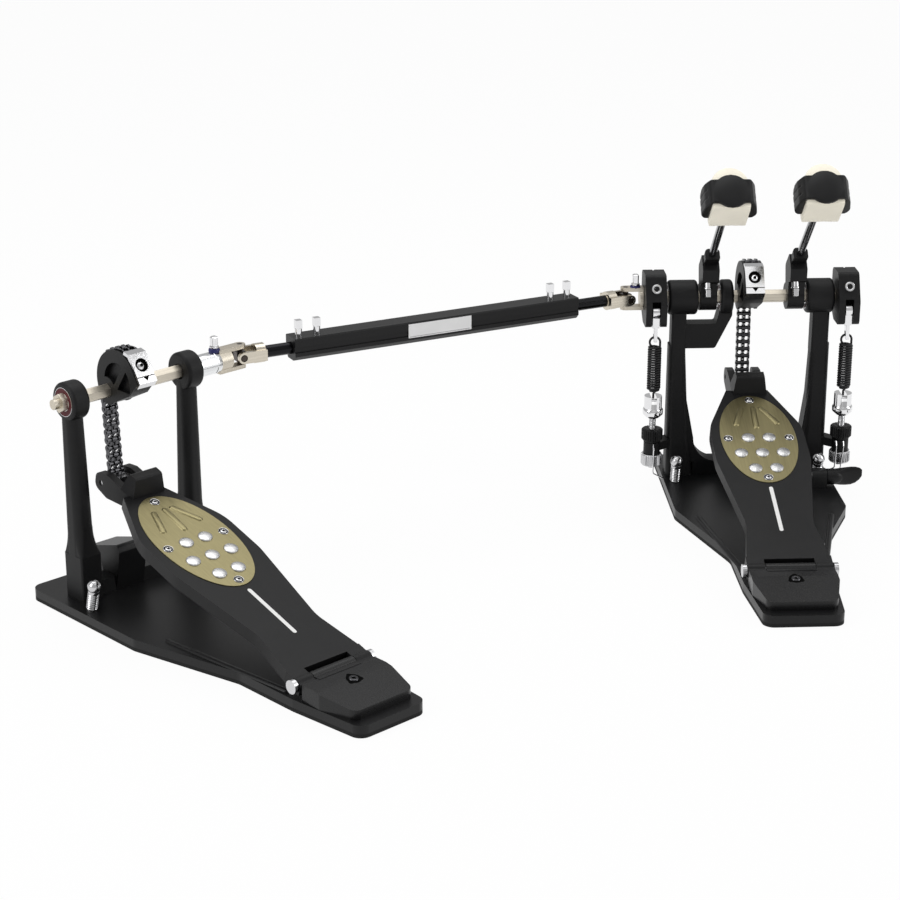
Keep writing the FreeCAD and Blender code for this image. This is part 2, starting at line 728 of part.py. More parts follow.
def grip_screw_places():
    ends = [(0, GRIP_CENTRE - GRIP_SCREW_ALONG), (0, GRIP_CENTRE + GRIP_SCREW_ALONG)]
    return ends + [(-GRIP_SCREW_ACROSS, GRIP_CENTRE), (GRIP_SCREW_ACROSS, GRIP_CENTRE)]


def footboard():
    outline, radii = board_outline(0)
    low = BOARD_TOP - BOARD_THICK
    body = plate(outline, radii, low - SKIRT_DEPTH + BOARD_THICK, BOARD_TOP)
    inner, inner_radii = board_outline(SKIRT_WALL)
    hollow = plate(inner, inner_radii, low - SKIRT_DEPTH, low)
    body = body.cut(hollow.common(box(-FAR, FAR, KNUCKLE_RADIUS + 6, BOARD_NECK - 8, -FAR, FAR)))
    toe = side_plate([(BOARD_NECK - 10, BOARD_TOP), (BOARD_NECK - 10, low - 4), (BOARD_TOE - 8, -TOE_DEPTH),
                      (BOARD_TOE + 8, -TOE_DEPTH + 2), (BOARD_TOE + 9, BOARD_TOP - 5), (BOARD_TOE - 4, BOARD_TOP)],
                     [0, 0, 5, 6, 6, 8], CAM_X - TOE_HALF, CAM_X + TOE_HALF)
    slot = box(CAM_X - TOE_SLOT_HALF, CAM_X + TOE_SLOT_HALF, STOP_END, FAR, -FAR, FAR)
    stop_front = [(STOP_START, BOARD_TOP - 1), (STOP_START + 4, BOARD_TOP + STOP_TALL),
                  (STOP_END - 4, BOARD_TOP + STOP_TALL), (STOP_END, BOARD_TOP - 1)]
    stop = side_plate(stop_front, [0, 2, 3, 0], CAM_X - STOP_FOOT_HALF, CAM_X + STOP_FOOT_HALF)
    taper = [(CAM_X - STOP_FOOT_HALF, BOARD_TOP - 2), (CAM_X + STOP_FOOT_HALF, BOARD_TOP - 2),
             (CAM_X + STOP_HALF, BOARD_TOP + STOP_TALL + 1), (CAM_X - STOP_HALF, BOARD_TOP + STOP_TALL + 1)]
    stop = stop.common(front_plate(taper, [0] * 4, STOP_START - 1, STOP_END + 1))
    knuckle = bar(KNUCKLE_RADIUS, (-BOARD_HEEL_HALF, 0, 0), (BOARD_HEEL_HALF, 0, 0))
    heel_block = box(-BOARD_HEEL_HALF, BOARD_HEEL_HALF, 0, KNUCKLE_RADIUS + 6, low - 3, BOARD_TOP)
    body = join([body, toe.cut(slot), stop, knuckle, heel_block])
    gap = box(-KNUCKLE_HALF - SIDE_PLAY, KNUCKLE_HALF + SIDE_PLAY, -FAR, KNUCKLE_RADIUS + 3, -FAR, FAR)
    bore = bar(PIN_RADIUS + RUNNING_FIT, (-FAR, 0, 0), (FAR, 0, 0))
    sink = grip_blank(PRESS_GAP, BOARD_TOP - GRIP_SINK, BOARD_TOP + 5).cut(
        box(-FAR, FAR, STOP_START, FAR, -FAR, FAR))
    pivot = anchor_pivot()
    pin_hole = bar(ANCHOR_PIN_RADIUS + PRESS_GAP, (-FAR, pivot.y, pivot.z), (FAR, pivot.y, pivot.z))
    return body.cut(gap).cut(bore).cut(sink).cut(pin_hole)


def grip_plate():
    body = grip_blank(0, BOARD_TOP - GRIP_SINK, BOARD_TOP - GRIP_SINK + GRIP_THICK)
    body = body.cut(box(-FAR, FAR, STOP_START - SEAT_GAP, FAR, -FAR, FAR))
    holes = [bar(GRIP_SCREW_RADIUS / 2, (x, y, -FAR), (x, y, FAR)) for x, y in grip_screw_places()]
    return body.cut(Part.makeCompound(holes))


def dome(x, y, z, radius, tall):
    sphere = (radius * radius + tall * tall) / (2 * tall)
    ball = Part.makeSphere(sphere)
    ball.Placement = Placement(Vector(x, y, z + tall - sphere), Rotation(Vector(0, 1, 0), 90))
    return ball.common(box(x - FAR, x + FAR, y - FAR, y + FAR, z, z + tall + 1))


def grip_studs():
    seat = BOARD_TOP - GRIP_SINK + GRIP_THICK
    studs = [dome(x, y, seat, STUD_RADIUS, STUD_TALL) for x, y in stud_places()]
    for x, y in grip_screw_places():
        head = dome(x, y, seat, GRIP_SCREW_RADIUS, GRIP_SCREW_TALL)
        socket = bar(GRIP_SCREW_RADIUS / 3, (x, y, seat + 0.3), (x, y, seat + 5))
        studs.append(head.cut(socket))
    return studs


# Chain: pins along the run from the anchor up to the cam, then round the cam
def chain_pins():
    """Pin centres in Y and Z, and how many of them lie on the straight run."""
    along, drop = ANCHOR_ALONG, -ANCHOR_DROP
    anchor = (-HINGE_BACK + along * BOARD_COS - drop * BOARD_SIN,
              HINGE_HEIGHT + along * BOARD_SIN + drop * BOARD_COS)
    reach = math.hypot(CAM_CENTRE[0] - anchor[0], CAM_CENTRE[1] - anchor[1])
    bearing = math.atan2(CAM_CENTRE[1] - anchor[1], CAM_CENTRE[0] - anchor[0])
    rising = bearing - math.asin(CHAIN_RADIUS / reach)
    start = rising - math.pi / 2
    touch = (CAM_CENTRE[0] + CHAIN_RADIUS * math.cos(start), CAM_CENTRE[1] + CHAIN_RADIUS * math.sin(start))
    straight = 2 * round(math.sqrt(reach ** 2 - CHAIN_RADIUS ** 2) / PITCH / 2 - 0.5) + 1
    pins = []
    for k in range(straight + 1):
        left = (straight - k) * PITCH
        pins.append((touch[0] - left * math.cos(rising), touch[1] - left * math.sin(rising)))
    step = 2 * math.asin(PITCH / (2 * CHAIN_RADIUS))
    last = math.radians(CLAMP_TURNS[0]) - (LINK_HALF_TALL + 1) / CHAIN_RADIUS
    angle = start + step
    while angle < last:
        pins.append(cam_point(CHAIN_RADIUS, math.degrees(angle)))
        angle += step
    return pins, straight


def anchor_pivot():
    """The chain's lowest pin, in the footboard's own flat frame."""
    pins, straight = chain_pins()
    return BOARD.inverse().multVec(Vector(0, *pins[0]))


def link_plate(x0, x1):
    """Waisted chain plate between two pins one pitch apart along Y."""
    reach = math.sqrt(LINK_HALF_TALL ** 2 - LINK_WAIST ** 2)
    near_top, near_low = Vector(x0, reach, LINK_WAIST), Vector(x0, reach, -LINK_WAIST)
    far_top, far_low = Vector(x0, PITCH - reach, LINK_WAIST), Vector(x0, PITCH - reach, -LINK_WAIST)
    edges = [
        Part.Arc(near_top, Vector(x0, -LINK_HALF_TALL, 0), near_low).toShape(),
        Part.LineSegment(near_low, far_low).toShape(),
        Part.Arc(far_low, Vector(x0, PITCH + LINK_HALF_TALL, 0), far_top).toShape(),
        Part.LineSegment(far_top, near_top).toShape(),
    ]
    return Part.Face(Part.Wire(edges)).extrude(Vector(x1 - x0, 0, 0))


def pin_link(open_end):
    """Outer link: three plates on two pins; an open end keeps the rivet heads only."""
    half = MIDDLE_PLATE / 2
    outer = OUTER_PLATE + PLATE
    plates = [link_plate(-half, half), link_plate(OUTER_PLATE, outer), link_plate(-outer, -OUTER_PLATE)]
    pins = [bar(LINK_PIN_RADIUS, (-CHAIN_HALF, 0, 0), (CHAIN_HALF, 0, 0))]
    if open_end:
        pins.append(bar(LINK_PIN_RADIUS, (outer, PITCH, 0), (CHAIN_HALF, PITCH, 0)))
        pins.append(bar(LINK_PIN_RADIUS, (-CHAIN_HALF, PITCH, 0), (-outer, PITCH, 0)))
    else:
        pins.append(bar(LINK_PIN_RADIUS, (-CHAIN_HALF, PITCH, 0), (CHAIN_HALF, PITCH, 0)))
    return [join(plates + pins)]


def roller_link():
    """Inner link: on each strand two plates on two rollers."""
    halves = []
    for side in (-1, 1):
        plates = [link_plate(side * INNER_PLATE, side * ROLLER_START),
                  link_plate(side * ROLLER_END, side * (ROLLER_END + PLATE))]
        rollers = [bar(ROLLER_RADIUS, (side * ROLLER_START, y, 0), (side * ROLLER_END, y, 0))
                   for y in (0, PITCH)]
        bores = [bar(LINK_PIN_RADIUS + RUNNING_FIT, (0, y, 0), (side * FAR, y, 0)) for y in (0, PITCH)]
        halves.append(join(plates + rollers).cut(Part.makeCompound(bores)))
    return halves


def place_link(solids, start, end):
    angle = math.degrees(math.atan2(end[1] - start[1], end[0] - start[0]))
    spot = Placement(Vector(CAM_X, start[0], start[1]), Rotation(Vector(1, 0, 0), angle))
    placed = []
    for solid in solids:
        copy = solid.copy()
        copy.Placement = spot
        placed.append(copy)
    return placed


def chain():
    """Run up to the cam, the step link that leaves the cam, and the wrap on the cam."""
    pins, straight = chain_pins()
    outer, opened, inner = pin_link(False), pin_link(True), roller_link()
    run, step, wrap = [], [], []
    for k in range(len(pins) - 1):
        kind = inner if k % 2 == 0 else outer
        if k < straight:
            run += place_link(kind, pins[k], pins[k + 1])
        elif k == straight:
            step += place_link(opened, pins[k], pins[k + 1])
        else:
            wrap += place_link(kind, pins[k], pins[k + 1])
    return run, step, wrap


def chain_anchor():
    """Silver block at the toe with the pin that holds the chain's lowest link."""
    pins, straight = chain_pins()
    y, z = pins[0]
    inner, wide = CHAIN_HALF + RIM_PLAY, TOE_SLOT_HALF - SEAT_GAP
    low, high = z - ANCHOR_BELOW, z + ANCHOR_CHEEK
    pieces = [bar(LINK_PIN_RADIUS, (CAM_X - wide, y, z), (CAM_X + wide, y, z))]
    for side in (-1, 1):
        near, far = CAM_X + side * inner, CAM_X + side * wide
        pieces.append(bar(ANCHOR_CHEEK, (near, y, z), (far, y, z)))
        pieces.append(box(near, far, y - ANCHOR_BACK, y, low, high))
        pieces.append(bar(ANCHOR_PIN_RADIUS, (far, y, z), (CAM_X + side * (TOE_HALF - 1), y, z)))
    front = y - LINK_HALF_TALL - ANCHOR_PLAY
    pieces.append(box(CAM_X - wide, CAM_X + wide, y - ANCHOR_BACK, front, low, high))
    return join(pieces)


# Cam wheel and chain clamp
def cam_point(radius, angle):
    """Y and Z of a point about the cam's centre, the angle counted from the drum side."""
    turn = math.radians(angle)
    return CAM_CENTRE[0] + radius * math.cos(turn), CAM_CENTRE[1] + radius * math.sin(turn)


def cam_facets():
    """Everything in front of and below the cam's flat facets."""
    front = [cam_point(radius - FLANGE_SINK, turn) for radius, turn in zip(CLAMP_RADII, CLAMP_TURNS)]
    under = (-1.0, AXLE_HEIGHT - RIM_BOSS_RADIUS)
    rear = cam_point(RIM_RADIUS, FACET_END)
    corners = [(FAR, rear[1]), (FAR, -FAR), (-FAR, -FAR), (-FAR, front[0][1])]
    points = front + [under, rear] + corners
    return side_plate(points, [0] * len(points), CAM_X - RIM_HALF - 1, CAM_X + RIM_HALF + 1)


def cam():
    """Eccentric wheel with a chain groove, pocketed sides and flat facets at its front and foot."""
    cy, cz = CAM_CENTRE
    def disc(radius, x0, x1):
        return bar(radius, (CAM_X + x0, cy, cz), (CAM_X + x1, cy, cz))
    pieces = [disc(CORE_RADIUS, -RIM_HALF, RIM_HALF)]
    for side in (-1, 1):
        pieces.append(disc(RIM_RADIUS, side * GROOVE_HALF, side * RIM_HALF))
    bosses = [along_axle(CAM_BOSS_RADIUS, CAM_X - GROOVE_HALF, CAM_X + GROOVE_HALF)]
    for side in (-1, 1):
        bosses.append(along_axle(RIM_BOSS_RADIUS, CAM_X + side * GROOVE_HALF, CAM_X + side * RIM_HALF))
    body = join([join(pieces).cut(cam_facets())] + bosses)
    pockets = []
    for side in (-1, 1):
        ring = disc(CORE_RADIUS - CAM_BAND, side * (RIM_HALF - CAM_POCKET), side * (RIM_HALF + 1))
        inner = along_axle(RIM_BOSS_RADIUS, CAM_X + side * 2, CAM_X + side * (RIM_HALF + 2))
        low, high = CAM_X - RIM_HALF - 2, CAM_X + RIM_HALF + 2
        spoke = box(low, high, cy - SPOKE_HALF, cy + SPOKE_HALF, cz - FAR, cz + FAR)
        spoke.rotate(Vector(CAM_X, cy, cz), Vector(1, 0, 0), SPOKE_TURN)
        under = box(low, high, -FAR, FAR, -FAR, AXLE_HEIGHT + POCKET_RISE)
        pockets.append(ring.cut(inner).cut(spoke).cut(under))
    seat = clamp_block(CLAMP_DEEP + SEAT_GAP, -FAR, 1, GROOVE_HALF)
    body = body.cut(Part.makeCompound(pockets)).cut(seat)
    return body.cut(hex_bar(HEX_FLATS, CAM_X - RIM_HALF - 1, CAM_X + RIM_HALF + 1))


def clamp_block(sunk, high, spread, half):
    """Flat facet down the cam's front and a lip round its knee, from a depth below the face to one above it."""
    turns = [CLAMP_TURNS[0] - spread, *CLAMP_TURNS[1:]]
    lines = []
    for depth in (high, sunk):
        line = [cam_point(radius - depth, turn) for radius, turn in zip(CLAMP_RADII, turns)]
        share = CLAMP_LIP + spread * LIP_PLAY
        line[-1] = tuple(a + share * (b - a) for a, b in zip(line[-2], line[-1]))
        lines.append(line)
    points = lines[0] + lines[1][::-1]
    return side_plate(points, [0] * len(points), CAM_X - half, CAM_X + half)


def chain_clamp():
    """Chrome clamp over the cam's front: a plate with a sunk bolt and a notch, and a root between the flanges."""
    root = clamp_block(CLAMP_DEEP, 0, 0, GROOVE_HALF - SEAT_GAP)
    plate = clamp_block(CLAMP_PLATE, 0, 0, RIM_HALF - CLAMP_EDGE)
    body = join([root, plate])
    start = Vector(CAM_X, *cam_point(CLAMP_RADII[1], CLAMP_TURNS[1]))
    knee = Vector(CAM_X, *cam_point(CLAMP_RADII[2], CLAMP_TURNS[2]))
    down = (knee - start).normalize()
    out = down.cross(Vector(1, 0, 0))
    across = Vector(1, 0, 0)
    seat = start + (knee - start) * CLAMP_BOLT_SHARE - out * CLAMP_BOSS_SINK
    recess = Part.makeCylinder(CLAMP_BOSS_RADIUS, FAR, seat, out)
    bolt = dome(0, 0, 0, CLAMP_BOLT_RADIUS, CLAMP_BOSS_SINK)
    bolt = bolt.fuse(bar(CLAMP_BOLT_RADIUS, (0, 0, -1), (0, 0, 0)))
    bolt.Placement = Placement(seat, Rotation(Vector(0, 0, 1), out))
    middle = start + (knee - start) * CLAMP_NOTCH_SHARE
    floor = middle - out * CLAMP_NOTCH
    corners = [floor - across * CLAMP_NOTCH_HALF, floor + across * CLAMP_NOTCH_HALF,
               floor + down * CLAMP_NOTCH_LONG]
    notch = Part.Face(Part.makePolygon(corners + corners[:1])).extrude(out * (CLAMP_NOTCH + 1))
    line = [middle - down * CLAMP_LINE + out, middle - out * CLAMP_LINE, middle + down * CLAMP_LINE + out]
    line = [point - across * RIM_HALF for point in line]
    groove = Part.Face(Part.makePolygon(line + line[:1])).extrude(across * (2 * RIM_HALF))
    body = body.cut(notch).cut(groove).cut(recess)
    return [join([body, bolt])]


def key_bolt():
    """Square-headed bolt for a drum key, standing on the origin along Z."""
    neck = bar(BOLT_RADIUS, (0, 0, 0), (0, 0, BOLT_NECK))
    half = BOLT_SQUARE / 2
    return join([neck, box(-half, half, -half, half, BOLT_NECK, BOLT_NECK + BOLT_SQUARE_TALL)])


# Axles and universal joints
def axle_yoke(joint, toward, hub_length):
    """Hub and two ears, one above and one below the joint's centre."""
    hub_end = joint - toward * YOKE_REACH
    hub = along_axle(YOKE_HUB_RADIUS, hub_end - toward * hub_length, hub_end)
    pieces = [hub]
    for side in (-1, 1):
        low, high = AXLE_HEIGHT + side * EAR_INNER, AXLE_HEIGHT + side * (EAR_INNER + EAR_THICK)
        pieces.append(box(hub_end - toward * 3, joint, -EAR_HALF, EAR_HALF, low, high))
        pieces.append(bar(EAR_HALF, (joint, 0, low), (joint, 0, high)))
        pieces.append(box(hub_end - toward * hub_length, hub_end, -EAR_HALF, EAR_HALF, AXLE_HEIGHT, high))
    bore = bar(CROSS_PIN_RADIUS + RUNNING_FIT, (joint, 0, AXLE_HEIGHT - FAR), (joint, 0, AXLE_HEIGHT + FAR))
    return join(pieces).cut(bore)


def main_axle():
    middle = sum(ARM_RING) / 2
    return hex_bar(HEX_FLATS, middle + STUB_GAP / 2, AXLE_END)


def stub_axle():
    middle = sum(ARM_RING) / 2
    hub = LEFT_LEVER[0] - SIDE_PLAY - (MAIN_JOINT_X + YOKE_REACH)
    yoke = axle_yoke(MAIN_JOINT_X, -1, hub)
    return join([hex_bar(HEX_FLATS, MAIN_JOINT_X + YOKE_REACH + 1, middle - STUB_GAP / 2), yoke])


def slave_axle():
    left = SLAVE_LEFT_HOUSING[0] + BEARING_INSET
    collar = SLAVE_RIGHT_HOUSING[1] + SIDE_PLAY
    hub = SLAVE_JOINT_X - YOKE_REACH - collar - COLLAR_LENGTH
    nut = left - AXLE_NUT_THICK
    pieces = [
        hex_bar(HEX_FLATS, left - 1, SLAVE_JOINT_X - YOKE_REACH - 1),
        hex_bar(AXLE_NUT_FLATS, nut, left - SEAT_GAP),
        along_axle(AXLE_BOLT_RADIUS, left - AXLE_BOLT_LENGTH, left),
        along_axle(COLLAR_RADIUS, collar, collar + COLLAR_LENGTH),
        axle_yoke(SLAVE_JOINT_X, 1, hub),
    ]
    return join(pieces)


def joint_cross(centre):
    """Cross of a universal joint in the shaft's frame: one pin upright, one across the shaft."""
    reach = EAR_INNER + EAR_THICK
    block = box(centre - CROSS_HALF, centre + CROSS_HALF, -CROSS_HALF, CROSS_HALF, -CROSS_HALF, CROSS_HALF)
    upright = bar(CROSS_PIN_RADIUS, (centre, 0, -reach), (centre, 0, reach))
    across = bar(CROSS_PIN_RADIUS, (centre, -reach, 0), (centre, reach, 0))
    return join([block, upright, across])


def shaft_yoke(joint, toward):
    hub_start = joint + toward * YOKE_REACH
    hub_end = hub_start + toward * YOKE_HUB_LENGTH
    pieces = [bar(YOKE_HUB_RADIUS, (hub_start, 0, 0), (hub_end, 0, 0))]
    for side in (-1, 1):
        near, far = side * EAR_INNER, side * (EAR_INNER + EAR_THICK)
        pieces.append(box(joint, hub_start + toward * 3, near, far, -EAR_HALF, EAR_HALF))
        pieces.append(bar(EAR_HALF, (joint, near, 0), (joint, far, 0)))
        pieces.append(box(hub_start, hub_end, 0, far, -EAR_HALF, EAR_HALF))
    bore = bar(CROSS_PIN_RADIUS + OPEN_JOINT_PLAY, (joint, -FAR, 0), (joint, FAR, 0))
    return join(pieces).cut(bore)


def shaft_rod(joint, toward, tube_end):
    start = joint + toward * (YOKE_REACH + 1)
    end = tube_end + toward * ROD_INSERT
    return join([shaft_yoke(joint, toward), bar(SHAFT_ROD_RADIUS, (start, 0, 0), (end, 0, 0))])


def shaft_bolt_places():
    first, second = SHAFT_BOLT_INSET
    return [TUBE_START + first, TUBE_START + second, TUBE_END - second, TUBE_END - first]


def shaft_tube():
    half, chamfer = TUBE_HALF, TUBE_CHAMFER
    points = [(-half, -half + chamfer), (-half + chamfer, -half), (half - chamfer, -half), (half, -half + chamfer),
              (half, half - 1), (half - 1, half), (-half + 1, half), (-half, half - 1)]
    wire = rounded_wire([Vector(TUBE_START, y, z) for y, z in points], [1.5, 1.5, 1.5, 1.5, 0, 0, 0, 0])
    body = Part.Face(wire).extrude(Vector(TUBE_END - TUBE_START, 0, 0))
    cuts = [bar(SHAFT_ROD_RADIUS + RUNNING_FIT, (TUBE_START - 1, 0, 0), (TUBE_END + 1, 0, 0))]
    for side in (-1, 1):
        low, high = side * (half - TUBE_GROOVE), side * (half + 1)
        cuts.append(box(TUBE_START - 1, TUBE_END + 1, low, high, -TUBE_GROOVE_HALF, TUBE_GROOVE_HALF))
    for x in shaft_bolt_places():
        cuts.append(bar(BOLT_RADIUS + PRESS_GAP, (x, 0, 0), (x, 0, half + 1)))
    return body.cut(Part.makeCompound(cuts))


def shaft_bolts():
    bolts = []
    for x in shaft_bolt_places():
        bolt = key_bolt().fuse(bar(BOLT_RADIUS, (0, 0, SHAFT_ROD_RADIUS + SEAT_GAP - TUBE_HALF), (0, 0, 1)))
        bolt.translate(Vector(x, 0, TUBE_HALF))
        bolts.append(bolt.removeSplitter())
    return bolts


# Beaters, in their own frames
def beater_hub(x):
    """Hub on the axle: a ring, a body with a lip for the key bolt, and a cap that holds the rod."""
    half = HUB_WIDTH / 2
    ring = Part.makeCylinder(HUB_RADIUS, HUB_WIDTH, Vector(-half, 0, 0), Vector(1, 0, 0))
    front, top = HUB_LIP_TOP
    points = [(-0.7 * HUB_RADIUS, 0.6 * HUB_RADIUS), HUB_LIP_FOOT, HUB_LIP_NOSE, HUB_LIP_TOP, (HUB_BACK, top),
              (HUB_BACK, HUB_KNEE), (0.8 * HUB_RADIUS, 0.4 * HUB_RADIUS)]
    body = side_plate(points, [0, 1, 1.5, 1, 1, 4, 0], -half, half)
    neck = HUB_CAP_FRONT + HUB_GAP_DEEP
    wide = HUB_CAP_HALF
    pieces = [ring, body]
    steps = ((neck, top - 1, HUB_CAP_FOOT + 1, 0.5), (HUB_CAP_FRONT, HUB_CAP_FOOT, HUB_TOP, 1.5))
    for near, low, high, corner in steps:
        outline = [(-wide, near), (wide, near), (wide, HUB_BACK - 0.3), (-wide, HUB_BACK - 0.3)]
        pieces.append(plate(outline, [corner, corner, 3.5, 3.5], low, high))
    foot, nose = Vector(0, *HUB_LIP_FOOT), Vector(0, *HUB_LIP_NOSE)
    out = (nose - foot).cross(Vector(1, 0, 0)).normalize() * -1
    bolt = key_bolt()
    seat = Vector(HUB_BOLT_SHIFT, 0, 0) + (foot + nose) / 2 - out * 0.5
    bolt.Placement = Placement(seat, Rotation(Vector(0, 0, 1), out))
    bore = bar(BEATER_ROD_RADIUS + RUNNING_FIT, (0, ROD_OFFSET, BORE_FOOT), (0, ROD_OFFSET, HUB_TOP + 1))
    hub = join(pieces + [bolt]).cut(bore)
    hub.Placement = beater_frame(x)
    return hub.cut(hex_bar(HEX_FLATS, x - half - 1, x + half + 1))


def beater_rod(x, head):
    rod = bar(BEATER_ROD_RADIUS, (0, 0, ROD_FOOT), (0, 0, head + HEAD_TALL - 3))
    rod.Placement = rod_frame(x)
    return rod


def felt_block(x, head):
    """Felt block, round towards the drum and flat towards the player, bored for the rod."""
    wide, crown = FELT_HALF_WIDE, FELT_FRONT - FELT_CROWN
    front = Part.Arc(Vector(wide, crown, 0), Vector(0, FELT_FRONT, 0), Vector(-wide, crown, 0)).toShape()
    taper = -FELT_BACK + FELT_TAPER_LONG
    square = [(-wide, crown), (-wide, taper), (-wide + FELT_TAPER, -FELT_BACK), (wide - FELT_TAPER, -FELT_BACK),
              (wide, taper), (wide, crown)]
    edges = [front]
    for start, end in zip(square, square[1:]):
        edges.append(Part.LineSegment(Vector(*start, 0), Vector(*end, 0)).toShape())
    block = Part.Face(Part.Wire(edges)).extrude(Vector(0, 0, HEAD_TALL))
    body = block.cut(bar(BEATER_ROD_RADIUS + PRESS_GAP, (0, 0, -1), (0, 0, HEAD_TALL - 3)))
    body.Placement = rod_frame(x, head)
    return body


def saddle_outline(inset):
    """Outer line of the saddle in X and Z, from the felt's foot: two wings and the band over the top."""
    wide, top = HEAD_HALF_WIDE - inset, HEAD_TALL + FELT_GAP
    tip = FELT_HALF_WIDE + WING_TIP_WALL - inset / 2
    right = [(tip, WING_TIP), (wide, WING_BULGE * top), (wide - WING_DRAW, WING_SHOULDER * top),
             (wide - BAND_DRAW, top + CAP_THICK - inset)]
    return right + [(-x, z) for x, z in reversed(right)], [0.5, 9, 10, 4, 4, 10, 9, 0.5]


def beater_saddle(x, head):
    """Moulded saddle: a wing down each side of the felt block, and a band with a low dome over the top."""
    top = HEAD_TALL + FELT_GAP
    deep, felt = BAND_HALF_DEEP, FELT_HALF_WIDE + FELT_GAP
    body = front_plate(*saddle_outline(0), -deep, deep)
    side_view = [(-deep, WING_TIP + 2), (-deep + 3, WING_TIP), (-deep + 8, WING_TIP + 1), (deep, 0.6 * top),
                 (deep, top + FAR), (-deep, top + FAR)]
    body = body.common(side_plate(side_view, [1.5, 1, 4, 6, 0, 0], -FAR, FAR))
    shell = front_plate(*saddle_outline(WING_RIB_SINK), -FAR, FAR)
    for middle in (-WING_RIB_SHIFT, WING_RIB_SHIFT):
        rib = box(-FAR, FAR, middle - WING_RIB / 2, middle + WING_RIB / 2, 0, top - 2)
        body = body.cut(rib.cut(shell))
    disc = bar(DISC_RADIUS, (0, 0, top), (0, 0, top + CAP_THICK))
    disc = disc.fuse(dome(0, 0, top + CAP_THICK, DISC_RADIUS, DISC_DOME))
    body = join([body, disc]).cut(box(-felt, felt, -FAR, FAR, -FAR, top))
    body.Placement = rod_frame(x, head)
    return body


# Springs
def lever_pin_place():
    return -(LINK_BACK - LINK_PIN_FORE), AXLE_HEIGHT - LINK_PIN_RISE


def spring_lever(lever):
    """Clamp block on the axle, forked at the front for the spring link."""
    x0, x1 = lever
    middle = (x0 + x1) / 2
    y, z = lever_pin_place()
    points = [(-LEVER_HALF, AXLE_HEIGHT + LEVER_ABOVE), (LEVER_HALF, AXLE_HEIGHT + LEVER_ABOVE),
              (LEVER_HALF, AXLE_HEIGHT - LEVER_HALF), (-2, AXLE_HEIGHT - LEVER_BELOW),
              (-LEVER_NOSE, AXLE_HEIGHT - LEVER_BELOW), (-LEVER_NOSE, AXLE_HEIGHT)]
    body = side_plate(points, [5, 5, 6, 4, 5, 6], x0, x1)
    far, low = -LEVER_NOSE - 5, AXLE_HEIGHT - LEVER_BELOW - 5
    opening = [(far, AXLE_HEIGHT + SLOT_ROOF), (-SLOT_BACK, AXLE_HEIGHT + SLOT_ROOF),
               (-SLOT_BACK, AXLE_HEIGHT - SLOT_KNEE), (SLOT_BACK, AXLE_HEIGHT - SLOT_KNEE - 2 * SLOT_BACK),
               (SLOT_BACK, low), (far, low)]
    slot = side_plate(opening, [0] * 6, middle - LEVER_SLOT / 2, middle + LEVER_SLOT / 2)
    split = box(middle - 1, middle + 1, HEX_FLATS / 2, FAR, AXLE_HEIGHT + SLOT_ROOF, FAR)
    pin = bar(LEVER_PIN_RADIUS, (x0 + 0.5, y, z), (x1 - 0.5, y, z))
    upper, lower = Vector(middle, *points[0]), Vector(middle, *points[-1])
    out = Vector(-1, 0, 0).cross(upper - lower).normalize()
    seat = lower + (upper - lower) * LEVER_BOLT_SHARE
    head = Part.makeCylinder(LEVER_BOLT_RADIUS, LEVER_BOLT_TALL + 2, seat - out * 2, out)
    body = join([body.cut(split).cut(slot), pin, head])
    return body.cut(hex_bar(HEX_FLATS, x0 - 1, x1 + 1))


def spring_link(lever):
    """Stirrup that hangs from the lever's pin and takes the spring's hook."""
    middle = sum(lever) / 2
    pin_y, pin_z = lever_pin_place()
    y = -LINK_BACK
    hole = LEVER_PIN_RADIUS + LINK_EYE_PLAY
    half, tail = LINK_THICK / 2, LINK_TAIL_THICK / 2
    eye = bar(hole + LINK_EYE_WALL, (middle - half, y, pin_z), (middle + half, y, pin_z))
    foot = HOOK_TOP + COIL_WIRE - LINK_HOLE - LINK_EYE_WALL
    hook = HOOK_TOP - COIL_WIRE + LINK_HOLE - 0.5
    neck = box(middle - half, middle + half, y - LINK_TAIL_HALF, y + LINK_TAIL_HALF, hook + 8, pin_z)
    shank = box(middle - tail, middle + tail, y - LINK_TAIL_HALF, y + LINK_TAIL_HALF, foot, hook + 9)
    body = join([eye, neck, shank])
    bore = bar(hole, (-FAR, y, pin_z), (FAR, y, pin_z))
    eyelet = bar(LINK_HOLE, (-FAR, y, hook), (FAR, y, hook))
    return body.cut(bore).cut(eyelet)


def biarc(start, heading, end, leaving):
    """Two tangent arcs from one point and direction to another."""
    span = end - start
    both = heading + leaving
    spread = 2 * (1 - heading.dot(leaving))
    toward = span.dot(both)
    reach = (math.sqrt(toward * toward + spread * span.dot(span)) - toward) / spread
    joint = (start + end + (heading - leaving) * reach) * 0.5
    edges = []
    for a, apex, b in ((start, start + heading * reach, joint), (joint, end - leaving * reach, end)):
        chord = (a + b) * 0.5
        rise = apex - chord
        angle = math.atan2(rise.Length, (b - a).Length / 2)
        edges.append(Part.Arc(a, chord + rise * (math.tan(angle / 2) / math.tan(angle)), b).toShape())
    return edges


